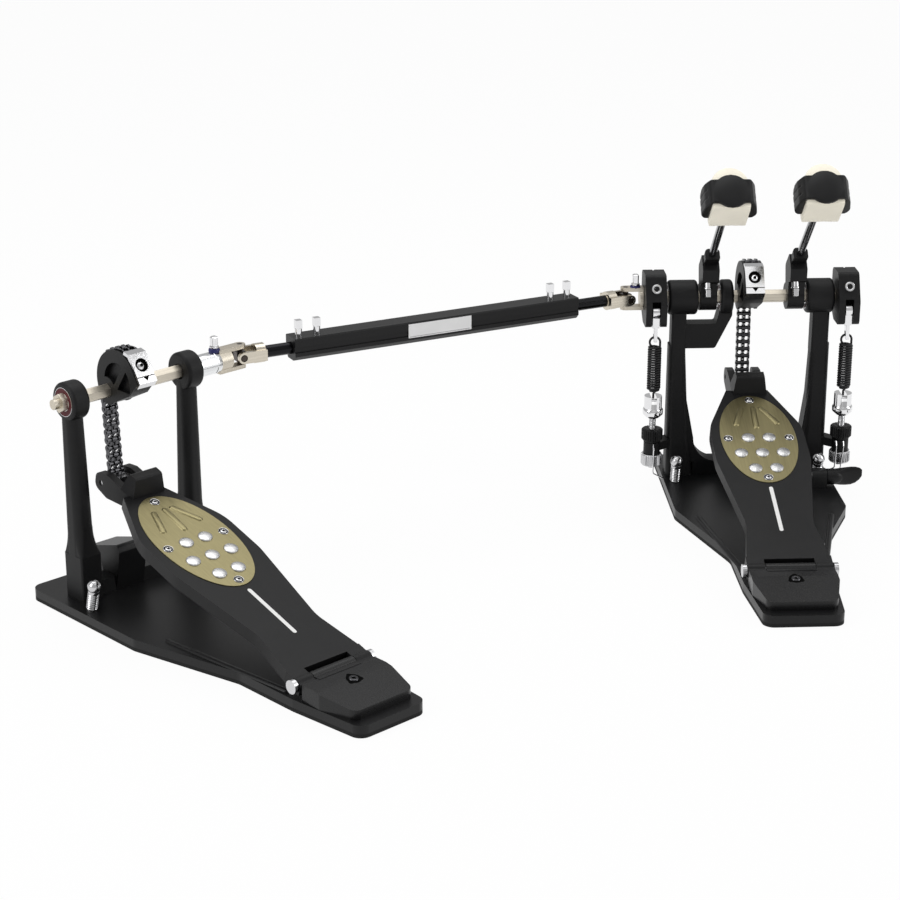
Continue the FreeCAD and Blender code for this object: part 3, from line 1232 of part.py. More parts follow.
def spring_path(x):
    """Points and headings of the wire: straight foot, coil, then the hook's loop on top."""
    y = -LINK_BACK
    pitch = (COIL_TOP - COIL_FOOT) / COIL_TURNS
    slope = pitch / (2 * math.pi * COIL_RADIUS)
    knots = [(Vector(x, y, COIL_FOOT - 4.2), Vector(0, 0, 1))]
    for k in range(4 * COIL_TURNS + 1):
        turn = math.pi / 2 * k
        spot = Vector(x + COIL_RADIUS * math.cos(turn), y + COIL_RADIUS * math.sin(turn),
                      COIL_FOOT + pitch * k / 4)
        knots.append((spot, Vector(-math.sin(turn), math.cos(turn), slope).normalize()))
    loop = Vector(x, y, HOOK_CENTRE)
    for degrees in (0, 90, 180, 250):
        turn = math.radians(degrees)
        spot = loop + Vector(math.cos(turn), 0, math.sin(turn)) * HOOK_RADIUS
        knots.append((spot, Vector(-math.sin(turn), 0, math.cos(turn))))
    return knots


def spring(x):
    """Tension spring as one wire, with its least gap to itself printed."""
    knots = spring_path(x)
    foot = knots[0][0]
    edges = [Part.LineSegment(foot - Vector(0, 0, 2 * COIL_WIRE), foot).toShape()]
    for (start, heading), (end, leaving) in zip(knots, knots[1:]):
        edges += biarc(start, heading, end, leaving)
    wire = Part.Wire(edges)
    circle = Part.Circle(foot - Vector(0, 0, 2 * COIL_WIRE), Vector(0, 0, 1), COIL_WIRE)
    body = wire.makePipeShell([Part.Wire([circle.toShape()])], True, False)
    pitch = (COIL_TOP - COIL_FOOT) / COIL_TURNS
    points = wire.discretize(Distance=1.0)
    skip = int(8 * COIL_WIRE)
    nearest = min((a - b).Length for k, a in enumerate(points) for b in points[k + skip:])
    print(f"spring gap {nearest - 2 * COIL_WIRE:.2f} mm, coil pitch {pitch:.2f} mm,",
          f"volume {body.Volume / (math.pi * COIL_WIRE ** 2 * wire.Length):.3f} of wire section times length")
    return body


def tension_post(lever):
    """Swivel that takes the spring's foot, on a threaded post, and the lock nut under the bracket."""
    x, y = sum(lever) / 2, -LINK_BACK
    nut_top = KNOB_FOOT - BOSS_TALL - SEAT_GAP
    nut_foot = nut_top - LOCK_NUT_TALL
    waist = (SWIVEL_TOP + SWIVEL_FOOT) / 2
    swivel = [
        cone(SWIVEL_NECK, SWIVEL_NECK - 1.0, (x, y, waist), (x, y, SWIVEL_TOP)),
        bar(SWIVEL_RADIUS, (x, y, SWIVEL_FOOT + 3), (x, y, waist)),
        cone(SWIVEL_NECK - 2, SWIVEL_RADIUS, (x, y, SWIVEL_FOOT), (x, y, SWIVEL_FOOT + 3)),
        bar(POST_RADIUS, (x, y, nut_foot - POST_TAIL), (x, y, waist)),
    ]
    post = join(swivel).cut(bar(SWIVEL_BORE, (x, y, SWIVEL_TOP - 7), (x, y, SWIVEL_TOP + 1)))
    nut = bar(LOCK_NUT_RADIUS, (x, y, nut_foot), (x, y, nut_top))
    nut = nut.cut(bar(POST_RADIUS + RUNNING_FIT, (x, y, nut_foot - 1), (x, y, nut_top + 1)))
    return [post, nut]


def tension_knob(lever):
    x, y = sum(lever) / 2, -LINK_BACK
    foot = KNOB_FOOT + SEAT_GAP
    knob = bar(KNOB_RADIUS, (x, y, foot), (x, y, foot + KNOB_TALL))
    crown = cone(KNOB_RADIUS, KNOB_RADIUS - KNOB_EDGE, (x, y, foot + KNOB_TALL - KNOB_EDGE),
                 (x, y, foot + KNOB_TALL))
    body = knob.cut(box(-FAR, FAR, -FAR, FAR, foot + KNOB_TALL - KNOB_EDGE, foot + KNOB_TALL + 1)).fuse(crown)
    bore = bar(POST_RADIUS + RUNNING_FIT, (x, y, foot - 1), (x, y, foot + KNOB_TALL + 1))
    return body.removeSplitter().cut(bore)


# Hoop clamp
def jaw_pivot():
    return 0.0, BASE_TOP + JAW_PIVOT_RISE


def screw_axis():
    return -SCREW_BACK, BASE_TOP + SCREW_RISE


def hoop_lugs():
    """Two lugs that carry the jaw's pivot, and the lug that carries the wing screw."""
    y, z = jaw_pivot()
    lugs = []
    for side in (-1, 1):
        near = side * (JAW_HALF + SIDE_PLAY)
        lug = side_plate([(y - 7, BASE_TOP), (y + 7, BASE_TOP), (y + 6, z + 6), (y - 6, z + 6)], [0, 0, 5, 5],
                         near, near + side * JAW_LUG)
        lugs.append(lug)
    sy, sz = screw_axis()
    lugs.append(side_plate([(sy - 8, BASE_TOP), (sy + 8, BASE_TOP), (sy + 7, sz + 7), (sy - 7, sz + 7)], [0, 0, 5, 5],
                           *SCREW_LUG))
    far = JAW_HALF + SIDE_PLAY + JAW_LUG + 1
    pin_hole = bar(JAW_PIVOT_RADIUS + PRESS_GAP, (-far, y, z), (far, y, z))
    screw_hole = bar(SCREW_RADIUS + RUNNING_FIT, (SCREW_LUG[0] - 1, sy, sz), (SCREW_LUG[1] + 1, sy, sz))
    return lugs, [pin_hole, screw_hole]


def jaw_pin():
    y, z = jaw_pivot()
    far = JAW_HALF + SIDE_PLAY + JAW_LUG
    return bar(JAW_PIVOT_RADIUS, (-far, y, z), (far, y, z))


def jaw():
    """Rocking jaw: its nose presses the hoop, its tail lies over the screw's cone."""
    y, z = jaw_pivot()
    sy, sz = screw_axis()
    nose = BASE_TOP + HOOP_GAP
    tail = sz + SCREW_CONE + SEAT_GAP + SEAT_GAP
    points = [(JAW_NOSE - 12, nose), (JAW_NOSE, nose), (JAW_NOSE, nose + JAW_DEEP), (y + 8, z + 6), (y - 8, z + 6),
              (-JAW_TAIL, tail + JAW_DEEP), (-JAW_TAIL, tail), (y - 14, tail), (y - 4, z - 5), (y + 4, z - 5)]
    body = side_plate(points, [1, 3, 4, 4, 4, 3, 2, 3, 2, 2], -JAW_HALF, JAW_HALF)
    return body.cut(bar(JAW_PIVOT_RADIUS + RUNNING_FIT, (-JAW_HALF - 1, y, z), (JAW_HALF + 1, y, z)))


def wing_screw():
    """Screw with a cone under the jaw's tail and a wing outside the base."""
    y, z = screw_axis()
    shank = bar(SCREW_RADIUS, (SCREW_TIP + 12, y, z), (WING_START + 4, y, z))
    tip = cone(SCREW_CONE - 3, SCREW_CONE, (SCREW_TIP, y, z), (SCREW_TIP + 6, y, z))
    ring = bar(SCREW_CONE, (SCREW_TIP + 6, y, z), (SCREW_TIP + 14, y, z))
    collar = bar(SCREW_RADIUS + 3, (SCREW_LUG[1] + SEAT_GAP, y, z), (WING_START, y, z))
    half = WING_THICK / 2
    wing = front_plate([(WING_START - 4, z - 6), (WING_START + WING_LONG, z - WING_HALF / 2.2),
                        (WING_START + WING_LONG, z + WING_HALF / 2.2), (WING_START - 4, z + 6)], [2, 5, 5, 2],
                       y - half, y + half)
    return join([shank, tip, ring, collar, wing])


def fixed_tongue():
    """The slave base's fixed tongue, in place of a rocking jaw."""
    nose = BASE_TOP + HOOP_GAP
    points = [(TONGUE_NOSE - 9, nose), (TONGUE_NOSE, nose + 2), (TONGUE_NOSE, nose + TONGUE_DEEP),
              (-TONGUE_TAIL, nose + TONGUE_RISE), (-TONGUE_TAIL - 2, nose + TONGUE_RISE - 6),
              (-BEAM_HALF, BASE_TOP), (BEAM_HALF, BASE_TOP), (BEAM_HALF + 2, nose + 4)]
    return side_plate(points, [1, 2, 4, 3, 2, 0, 0, 3], -JAW_HALF, JAW_HALF)


# The two pedals
def build_frame(name, place, left, left_tower, right_tower):
    spurs_at = (-left + SPUR_INSET, BASE_RIGHT - SPUR_INSET - 3)
    holes = [spur_bore(x) for x in spurs_at]
    body = base(left, left_tower, right_tower)
    if name == "main":
        lugs, cuts = hoop_lugs()
        body = join([body] + lugs)
        holes += cuts
    else:
        body = join([body, fixed_tongue()])
    save(name + "_base", [body.cut(Part.makeCompound(holes))], place)
    save(name + "_sole", [sole(left).cut(Part.makeCompound([spur_bore(x) for x in spurs_at]))], place)
    save(name + "_heel_plate", [heel_plate()], place)
    hardware = heel_hardware() + [spur(x) for x in spurs_at]
    if name == "main":
        hardware.append(jaw_pin())
    save(name + "_hardware", hardware, place)


def build_board(name, place):
    on_board = place.multiply(BOARD)
    save(name + "_footboard", [footboard()], on_board)
    save(name + "_grip_plate", [grip_plate()], on_board)
    save(name + "_grip_studs", grip_studs(), on_board)
    save(name + "_chain_anchor", [chain_anchor()], place)
    run, step, wrap = chain()
    save(name + "_chain_run", run, place)
    save(name + "_chain_step", step, place)
    save(name + "_chain_wrap", wrap, place)
    save(name + "_cam", [cam()], place)
    save(name + "_chain_clamp", chain_clamp(), place)


def build_main():
    build_frame("main", MAIN, MAIN_BASE_LEFT, MAIN_LEFT_TOWER, MAIN_RIGHT_TOWER)
    save("main_left_tower", [tower(MAIN_LEFT_TOWER, MAIN_LEFT_HOUSING, BOTH_ENDS, STEM_STEP, LEFT_LEVER, True)])
    save("main_right_tower", [tower(MAIN_RIGHT_TOWER, MAIN_RIGHT_HOUSING, BOTH_ENDS, STEM_STEP, RIGHT_LEVER)])
    rings = []
    for housing in (MAIN_LEFT_HOUSING, MAIN_RIGHT_HOUSING, ARM_RING):
        rings.extend(bearings(housing, BOTH_ENDS))
    save("main_bearings", rings)
    build_board("main", MAIN)
    save("main_axle", [main_axle()])
    save("stub_axle", [stub_axle()])
    sides = (("left", LEFT_BEATER_X, LEFT_HEAD_FOOT, LEFT_LEVER),
             ("right", RIGHT_BEATER_X, RIGHT_HEAD_FOOT, RIGHT_LEVER))
    for side, x, head, lever in sides:
        save(side + "_beater_hub", [beater_hub(x)])
        save(side + "_beater_rod", [beater_rod(x, head)])
        save(side + "_beater_felt", [felt_block(x, head)])
        save(side + "_beater_saddle", [beater_saddle(x, head)])
        save(side + "_spring_lever", [spring_lever(lever)])
        save(side + "_spring_link", [spring_link(lever)])
        save(side + "_spring", [spring(sum(lever) / 2)])
        save(side + "_tension_knob", [tension_knob(lever)])
    save("tension_posts", tension_post(LEFT_LEVER) + tension_post(RIGHT_LEVER))
    save("hoop_jaw", [jaw()])
    save("wing_screw", [wing_screw()])


def build_slave():
    build_frame("slave", SLAVE, SLAVE_BASE_LEFT, SLAVE_LEFT_TOWER, SLAVE_RIGHT_TOWER)
    save("slave_left_tower", [tower(SLAVE_LEFT_TOWER, SLAVE_LEFT_HOUSING, ["left"], None)], SLAVE)
    save("slave_right_tower", [tower(SLAVE_RIGHT_TOWER, SLAVE_RIGHT_HOUSING, ["right"], None)], SLAVE)
    rings = bearings(SLAVE_LEFT_HOUSING, ["left"]) + bearings(SLAVE_RIGHT_HOUSING, ["right"])
    save("slave_bearings", rings, SLAVE)
    build_board("slave", SLAVE)
    save("slave_axle", [slave_axle()], SLAVE)


def build_shaft():
    save("shaft_tube", [shaft_tube()], SHAFT)
    save("shaft_bolts", shaft_bolts(), SHAFT)
    save("shaft_left_rod", [shaft_rod(0, 1, TUBE_START)], SHAFT)
    save("shaft_right_rod", [shaft_rod(SHAFT_SPAN, -1, TUBE_END)], SHAFT)
    save("left_joint_cross", [joint_cross(0)], SHAFT)
    save("right_joint_cross", [joint_cross(SHAFT_SPAN)], SHAFT)


build_main()
build_slave()
build_shaft()
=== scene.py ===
# %% [markdown]
# # Dressing a double bass drum pedal
# The metalwork comes in as a fixed frame of named parts that already have their real size and place.
# This lesson gives every part its finish and adds the small things that a drummer would look for:
# felt on the beaters, coiled springs, knurled nuts, key bolts, seals and wires.

# %% Load the frame
import json
import math

import bmesh
import bpy
from mathutils import Matrix, Vector


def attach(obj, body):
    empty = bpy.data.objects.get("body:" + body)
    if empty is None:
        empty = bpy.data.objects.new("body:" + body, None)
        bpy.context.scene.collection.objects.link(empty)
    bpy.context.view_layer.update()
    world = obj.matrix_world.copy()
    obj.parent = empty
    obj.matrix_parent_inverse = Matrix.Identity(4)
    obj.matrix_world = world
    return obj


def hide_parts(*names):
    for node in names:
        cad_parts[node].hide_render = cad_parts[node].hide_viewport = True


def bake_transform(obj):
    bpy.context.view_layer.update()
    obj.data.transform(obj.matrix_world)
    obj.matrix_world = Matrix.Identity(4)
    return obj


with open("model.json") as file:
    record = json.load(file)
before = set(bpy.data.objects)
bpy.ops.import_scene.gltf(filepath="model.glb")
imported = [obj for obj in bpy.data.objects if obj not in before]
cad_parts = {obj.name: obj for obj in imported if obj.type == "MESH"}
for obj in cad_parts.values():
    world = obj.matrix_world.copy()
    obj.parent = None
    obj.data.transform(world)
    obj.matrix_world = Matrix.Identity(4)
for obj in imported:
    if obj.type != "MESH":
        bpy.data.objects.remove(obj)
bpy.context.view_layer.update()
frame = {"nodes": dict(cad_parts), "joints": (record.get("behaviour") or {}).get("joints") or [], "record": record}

MM = 0.001
nodes = frame["nodes"]
joints = {joint["name"]: joint for joint in frame["joints"]}
mounts = {mount["name"]: mount for mount in frame["record"]["mounts"]}

# %% [markdown]
# ## Places
# Each pedal has its own frame: X along its axle to the right, Y towards the drum, Z up, origin on the floor
# under the axle. The main pedal's frame is the frame of the whole object. The slave pedal's comes from the
# record, so nothing has to be fitted by eye. Pieces are drawn in millimetres in one of these frames, and
# a matrix carries them to their place in metres.

# %% Frames of the pedals and the shaft
AXLE_HEIGHT = 170.0

to_metres = Matrix.Scale(MM, 4)


def frame_from(origin, x_axis):
    """Upright frame in millimetres with its X along an axle."""
    x_axis = Vector(x_axis).normalized()
    z_axis = Vector((0, 0, 1))
    y_axis = z_axis.cross(x_axis)
    turn = Matrix((x_axis, y_axis, z_axis)).transposed().to_4x4()
    return Matrix.Translation(Vector(origin)) @ turn @ to_metres


slave_x = -Vector(joints["slave_press"]["axis"])
shaft_x = -Vector(joints["shaft_spin"]["axis"])
pedal_frame = {
    "main": frame_from((0, 0, 0), (1, 0, 0)),
    "slave": frame_from(mounts["floor_slave"]["pos_m"], slave_x),
}
shaft_frame = frame_from(joints["left_rod_spin"]["pos_m"], shaft_x)
print("slave pedal stands at", [round(v, 3) for v in mounts["floor_slave"]["pos_m"]])

# %% [markdown]
# The footboards slope up from their hinges, and the beaters lean back at rest. Drawing a stud or a felt block
# upright and letting a tilted frame carry it is simpler than working out each tilted point.

# %% Frames of the boards and beaters
BOARD_PITCH = math.radians(17.8)
BEATER_LEAN = math.radians(47.4)
BEATER_X = {"left": -32.5, "right": 43.0}
ROD_OFFSET = 18.8
HEAD_FOOT = {"left": 118.7, "right": 123.6}

hinge = Vector(joints["main_press"]["pos_m"]) / MM
board_frame = {
    side: place @ Matrix.Translation((0, hinge.y, hinge.z)) @ Matrix.Rotation(BOARD_PITCH, 4, "X")
    for side, place in pedal_frame.items()
}
beater_frame = {
    side: to_metres @ Matrix.Translation((x, 0, AXLE_HEIGHT)) @ Matrix.Rotation(BEATER_LEAN, 4, "X")
    for side, x in BEATER_X.items()
}
head_frame = {
    side: place @ Matrix.Translation((0, ROD_OFFSET, HEAD_FOOT[side])) for side, place in beater_frame.items()
}
print("board hinge at", [round(v, 1) for v in hinge], "beater heads:", len(head_frame))

# %% [markdown]
# ## Making meshes
# Every piece is a mesh of its own that rides on one body of the frame. An object matrix could place it, but
# here its vertices are carried into the frame of the whole object, so that textures in object coordinates
# have the same scale on every piece. A bevel modifier rounds edges that would look too sharp.

# %% Adding a piece
SMOOTH_BELOW = math.radians(35)
BEVEL_ABOVE = math.radians(38)


def soften(piece, width_mm):
    """Rounds the sharp edges a little, as casting and tumbling do."""
    bevel = piece.modifiers.new("edge_round", "BEVEL")
    bevel.width = width_mm * MM
    bevel.segments = 2
    bevel.limit_method = "ANGLE"
    bevel.angle_limit = BEVEL_ABOVE
    bevel.harden_normals = True


def add_piece(name, mesh_builder, place, material, body, smooth=True, bevel=0.0):
    """Builds a mesh in millimetres, carries it to its place and lets it ride on a body."""
    mesh = bpy.data.meshes.new(name)
    builder = bmesh.new()
    mesh_builder(builder)
    bmesh.ops.recalc_face_normals(builder, faces=builder.faces)
    bmesh.ops.transform(builder, matrix=place, verts=builder.verts)
    for face in builder.faces:
        face.smooth = smooth
    builder.to_mesh(mesh)
    builder.free()
    piece = bpy.data.objects.new(name, mesh)
    bpy.context.scene.collection.objects.link(piece)
    mesh.materials.append(material)
    if bevel:
        soften(piece, bevel)
    elif smooth:
        mesh.set_sharp_from_angle(angle=SMOOTH_BELOW)
    if body:
        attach(piece, body)
    return piece


print("edges are rounded above", round(math.degrees(BEVEL_ABOVE)), "degrees")

# %% [markdown]
# A turned part is lathed from the half section that a turner would cut. Other bodies are stacks of rings with
# a skin between them: a flat part is a stack of two, and a knob, a rib or a felt block has a few more to
# round its rims. Each helper gives back a function that draws into a mesh, so bodies can be combined.

# %% Turned and stacked bodies
MERGE_WITHIN = 1e-4


def on_circle(radius, angle, x=0.0, y=0.0):
    """Point on a circle round (x, y)."""
    return x + radius * math.cos(angle), y + radius * math.sin(angle)


def lathe(profile, segments=40, centre=(0, 0, 0), axis="Z"):
    """Turned body: (radius, height) pairs turned round an axis; a closed profile makes a ring."""
    def build(builder):
        rings = []
        for k in range(segments):
            angle = 2 * math.pi * k / segments
            ring = []
            for radius, height in profile:
                a, b = on_circle(radius, angle)
                spot = {"Z": (a, b, height), "X": (height, a, b), "Y": (b, height, a)}[axis]
                ring.append(builder.verts.new(Vector(centre) + Vector(spot)))
            rings.append(ring)
        count = len(profile)
        for k in range(segments):
            here, after = rings[k], rings[(k + 1) % segments]
            for i in range(count):
                j = (i + 1) % count
                builder.faces.new((here[i], here[j], after[j], after[i]))
        bmesh.ops.remove_doubles(builder, verts=builder.verts, dist=MERGE_WITHIN)
    return build


def skin(builder, rings):
    """Joins rings of vertices one after the other and closes both ends."""
    for low, high in zip(rings, rings[1:]):
        for k in range(len(low)):
            j = (k + 1) % len(low)
            builder.faces.new((low[k], low[j], high[j], high[k]))
    builder.faces.new(list(reversed(rings[0])))
    builder.faces.new(rings[-1])


def extrude(outline, low, high, axis="Z"):
    """Flat body: an outline pushed from low to high along an axis."""
    def build(builder):
        rings = []
        for c in (low, high):
            spots = [{"Z": (a, b, c), "X": (c, a, b), "Y": (a, c, b)}[axis] for a, b in outline]
            rings.append([builder.verts.new(spot) for spot in spots])
        skin(builder, rings)
    return build


print("bodies: turned, stacked, extruded")

# %% [markdown]
# Springs and wires are a round section carried along a path. A curve with a bevel depth could do that too,
# but a mesh keeps its rings even. The other two helpers join bodies into one mesh, and move a body before it
# is placed.

# %% Wires and groups of bodies
def sweep(points, radius, sides=10):
    """Round wire along a smooth path of points."""
    def build(builder):
        path = [Vector(p) for p in points]
        rings = []
        normal = None
        for k, here in enumerate(path):
            ahead = path[min(k + 1, len(path) - 1)] - path[max(k - 1, 0)]
            ahead.normalize()
            if normal is None:
                normal = ahead.orthogonal().normalized()
            normal = (normal - ahead * normal.dot(ahead)).normalized()
            across = ahead.cross(normal)
            ring = []
            for i in range(sides):
                a, b = on_circle(radius, 2 * math.pi * i / sides)
                ring.append(builder.verts.new(here + normal * a + across * b))
            rings.append(ring)
        skin(builder, rings)
    return build


def several(*builders):
    """One mesh from several bodies."""
    def build(builder):
        for make in builders:
            make(builder)
    return build


def moved(make, matrix):
    """The same body, shifted or turned before it goes to its place."""
    def build(builder):
        before = set(builder.verts)
        make(builder)
        fresh = [v for v in builder.verts if v not in before]
        bmesh.ops.transform(builder, matrix=matrix, verts=fresh)
    return build


print("wires: swept along a path")

# %% [markdown]
# ## Shared surface effects
# Cast, anodised and moulded blacks all need a fine grain, and the drawn metals need streaks. Each effect is
# one shader node group with named inputs, placed in every material that uses it with its own values. Painted
# textures would do as well, but noise in object coordinates needs no unwrapping.

# %% Node helpers
def add_node(tree, kind, operation=None, second=None, **sockets):
    """Adds a shader node, with its operation, a fixed second value and the values of named sockets."""
    node = tree.nodes.new("ShaderNode" + kind)
    if operation:
        node.operation = operation
    if second is not None:
        node.inputs[1].default_value = second
    for socket, value in sockets.items():
        node.inputs[socket.replace("_", " ")].default_value = value
    return node


def add_ramp(tree, low, dark, high, light):
    """Colour ramp from a dark tone to a light one."""
    ramp = add_node(tree, "ValToRGB")
    for element, position, tone in zip(ramp.color_ramp.elements, (low, high), (dark, light)):
        element.position = position
        element.color = (*tone, 1)
    return ramp


def new_group(name, inputs, outputs):
    """Node group with its sockets: a tuple makes a vector input, a number a plain one."""
    group = bpy.data.node_groups.new(name, "ShaderNodeTree")
    for socket, default in inputs.items():
        kind = "NodeSocketVector" if isinstance(default, tuple) else "NodeSocketFloat"
        item = group.interface.new_socket(name=socket, in_out="INPUT", socket_type=kind)
        item.default_value = default
    for socket in outputs:
        group.interface.new_socket(name=socket, in_out="OUTPUT", socket_type="NodeSocketFloat")
    entry = group.nodes.new("NodeGroupInput")
    leave = group.nodes.new("NodeGroupOutput")
    return group, entry, leave


print("node helpers: node, ramp, group")

# %% [markdown]
# The grain group has two layers of noise: a fine one, whose size is given in millimetres, for bump and gloss,
# and a slow one that lets the tone drift. The streak group turns the coordinates into the direction of
# drawing and stretches them, so that the same noise becomes long scratches.

# %% Grain and streaks
def make_grain_group():
    """Fine grain for bump and gloss, and a slow drift for tone."""
    group, entry, leave = new_group("surface_grain", {"Size": 0.6, "Drift": 40.0}, ["Grain", "Tone"])
    link = group.links.new
    coords = add_node(group, "TexCoord")
    scale = add_node(group, "Math", "DIVIDE")
    scale.inputs[0].default_value = 1 / MM
    fine = add_node(group, "TexNoise", Detail=3.0)
    slow = add_node(group, "TexNoise", Detail=4.0)
    for noise in (fine, slow):
        link(coords.outputs["Object"], noise.inputs["Vector"])
    link(entry.outputs["Size"], scale.inputs[1])
    link(scale.outputs[0], fine.inputs["Scale"])
    link(entry.outputs["Drift"], slow.inputs["Scale"])
    link(fine.outputs["Fac"], leave.inputs["Grain"])
    link(slow.outputs["Fac"], leave.inputs["Tone"])
    return group


def make_streak_group():
    """Long fine scratches along one direction, as left by drawing or brushing."""
    sockets = {"Stretch": (1.0, 1.0, 1.0), "Turn": (0.0, 0.0, 0.0)}
    group, entry, leave = new_group("drawn_streaks", sockets, ["Streak"])
    link = group.links.new
    coords = add_node(group, "TexCoord")
    turn = add_node(group, "VectorRotate")
    turn.rotation_type = "EULER_XYZ"
    stretch = add_node(group, "VectorMath", "MULTIPLY")
    noise = add_node(group, "TexNoise", Scale=1.0, Detail=5.0)
    link(coords.outputs["Object"], turn.inputs["Vector"])
    link(entry.outputs["Turn"], turn.inputs["Rotation"])
    link(turn.outputs["Vector"], stretch.inputs[0])
    link(entry.outputs["Stretch"], stretch.inputs[1])
    link(stretch.outputs[0], noise.inputs["Vector"])
    link(noise.outputs["Fac"], leave.inputs["Streak"])
    return group


grain_group = make_grain_group()
streak_group = make_streak_group()
print("node groups:", grain_group.name, streak_group.name)

# %% [markdown]
# ## Finishes
# Every finish is the same small tree. A group gives a height and a drift, the drift moves the colour between
# two close tones, and the height moves the gloss and raises the bump. One helper builds it, and two short
# ones tell coats from metals, so that most finishes below are single lines that can be compared.

# %% Material helpers
TONE_LOW, TONE_HIGH = 0.3, 0.7
BUMP_DEPTH = 0.0002
given_materials = len(bpy.data.materials)


def finish(name, colour, roughness, metallic=0.0, grain=0.6, bump=0.15, tone=0.12, gloss_drift=0.08,
           streak=None, **sockets):
    """A finish with grain in bump and gloss and a slow drift in colour, or with streaks in all three."""
    material = bpy.data.materials.new(name)
    material.use_nodes = True
    tree = material.node_tree
    link = tree.links.new
    shader = tree.nodes["Principled BSDF"]
    shader.inputs["Metallic"].default_value = metallic
    for socket, value in sockets.items():
        shader.inputs[socket.replace("_", " ")].default_value = value
    effect = add_node(tree, "Group")
    if streak:
        effect.node_tree = streak_group
        effect.inputs["Stretch"].default_value, effect.inputs["Turn"].default_value = streak
        height = drift = effect.outputs["Streak"]
    else:
        effect.node_tree = grain_group
        effect.inputs["Size"].default_value = grain
        height, drift = effect.outputs["Grain"], effect.outputs["Tone"]
    dark, light = ([max(0.0, c * (1 + k * tone)) for c in colour] for k in (-1, 1))
    ramp = add_ramp(tree, TONE_LOW, dark, TONE_HIGH, light)
    gloss = add_node(tree, "MapRange", To_Min=max(0.02, roughness - gloss_drift),
                     To_Max=min(1.0, roughness + gloss_drift))
    relief = add_node(tree, "Bump", Strength=bump, Distance=BUMP_DEPTH)
    link(drift, ramp.inputs["Fac"])
    link(ramp.outputs["Color"], shader.inputs["Base Color"])
    link(height, gloss.inputs["Value"])
    link(gloss.outputs["Result"], shader.inputs["Roughness"])
    link(height, relief.inputs["Height"])
    link(relief.outputs["Normal"], shader.inputs["Normal"])
    return material


def coat(name, colour, roughness, mirror, **values):
    """A paint, rubber or plastic; mirror is how strongly it reflects."""
    return finish(name, colour, roughness, Specular_IOR_Level=mirror, **values)


def metal(name, colour, roughness, **values):
    """A plated, drawn or turned metal."""
    return finish(name, colour, roughness, metallic=1.0, **values)


print("finish, coat and metal share a bump of", BUMP_DEPTH / MM, "mm")

# %% [markdown]
# The pedal is nearly all black, so the blacks must differ as they do on the real thing: soft powder coat on
# the towers, a satin coat on the footboards, a glossier one on the heel plates, dull moulded plastic on the
# saddles, rubber under the bases. The darkest one hardly reflects at all: it is painted shade for sockets,
# recesses and gaps.

# %% Blacks, seals and paint
powder_black = coat("powder_black", (0.0065, 0.0065, 0.007), 0.50, 0.24, grain=0.45, bump=0.25)
satin_black = coat("satin_black", (0.007, 0.007, 0.0075), 0.44, 0.23, grain=0.35, bump=0.12)
gloss_black = coat("gloss_black", (0.006, 0.006, 0.0065), 0.28, 0.35, grain=0.5, bump=0.06)
base_black = coat("base_black", (0.006, 0.006, 0.0065), 0.36, 0.28, grain=0.4, bump=0.12)
sole_rubber = coat("sole_rubber", (0.010, 0.010, 0.010), 0.78, 0.25, grain=0.9, bump=0.4)
moulded_black = coat("moulded_black", (0.006, 0.006, 0.0065), 0.42, 0.25, grain=0.5, bump=0.2)
spring_black = coat("spring_black", (0.012, 0.012, 0.013), 0.42, 0.3, grain=0.4, bump=0.1)
# The next coat is painted shade: near-black with almost no reflection, laid where sockets, recesses and gaps lie
# in shade.
painted_shade_black = coat("painted_shade_black", (0.0015, 0.0015, 0.0015), 0.7, 0.03, grain=0.5, bump=0.1)
crimson_seal = coat("crimson_seal", (0.075, 0.006, 0.010), 0.55, 0.3, grain=0.6, bump=0.2)
blue_nylon = finish("blue_nylon", (0.012, 0.014, 0.11), 0.5, grain=0.5, bump=0.2)
white_paint = finish("white_paint", (0.78, 0.78, 0.77), 0.45, grain=0.4, bump=0.08, tone=0.04)
print("coats, seals and paint:", len(bpy.data.materials) - given_materials)

# %% [markdown]
# The bright metals are chrome in several degrees of dullness, warm nickel on the axles, champagne gold on the
# grip plates and bright steel on the collar. Gold, nickel and steel are brushed or drawn, so their streaks
# have to follow each part: the slave pedal and the shaft are turned on the floor, and the boards slope.

# %% Metals and the drawn tube
STREAKS_ACROSS, STREAKS_ALONG = 900.0, 25.0
GOLD = (0.29, 0.255, 0.135)
NICKEL = (0.63, 0.58, 0.49)

slave_turn = math.atan2(slave_x.y, slave_x.x)
shaft_turn = math.atan2(shaft_x.y, shaft_x.x)
lengthwise = (STREAKS_ACROSS, STREAKS_ALONG, STREAKS_ACROSS)
sideways = (STREAKS_ALONG, STREAKS_ACROSS, STREAKS_ACROSS)
along_shaft = (sideways, (0.0, 0.0, -shaft_turn))
along_axle = {"main": (sideways, (0.0, 0.0, 0.0)), "slave": (sideways, (0.0, 0.0, -slave_turn))}
along_board = {
    "main": (lengthwise, (-BOARD_PITCH, 0.0, 0.0)),
    "slave": (lengthwise, (-BOARD_PITCH, 0.0, -slave_turn)),
}

chrome = metal("chrome", (0.80, 0.80, 0.81), 0.10, grain=2.0, bump=0.02, tone=0.04, gloss_drift=0.04)
clamp_chrome = metal("clamp_chrome", (0.70, 0.70, 0.71), 0.14, grain=1.2, bump=0.05, tone=0.06)
dull_chrome = metal("dull_chrome", (0.62, 0.62, 0.63), 0.24, grain=0.8, bump=0.05, tone=0.08)
rod_chrome = metal("rod_chrome", (0.36, 0.36, 0.37), 0.16, grain=1.5, bump=0.03, tone=0.08)
chain_black = metal("chain_black", (0.08, 0.08, 0.085), 0.22, grain=0.5, bump=0.1, tone=0.25)
cross_steel = metal("cross_steel", (0.075, 0.062, 0.055), 0.34, grain=0.5, bump=0.08, tone=0.15)
collar_steel = metal("collar_steel", (0.78, 0.79, 0.80), 0.20, streak=along_axle["slave"], bump=0.05)
tube_black = coat("tube_black", (0.006, 0.006, 0.0065), 0.40, 0.28, streak=along_shaft, bump=0.05)
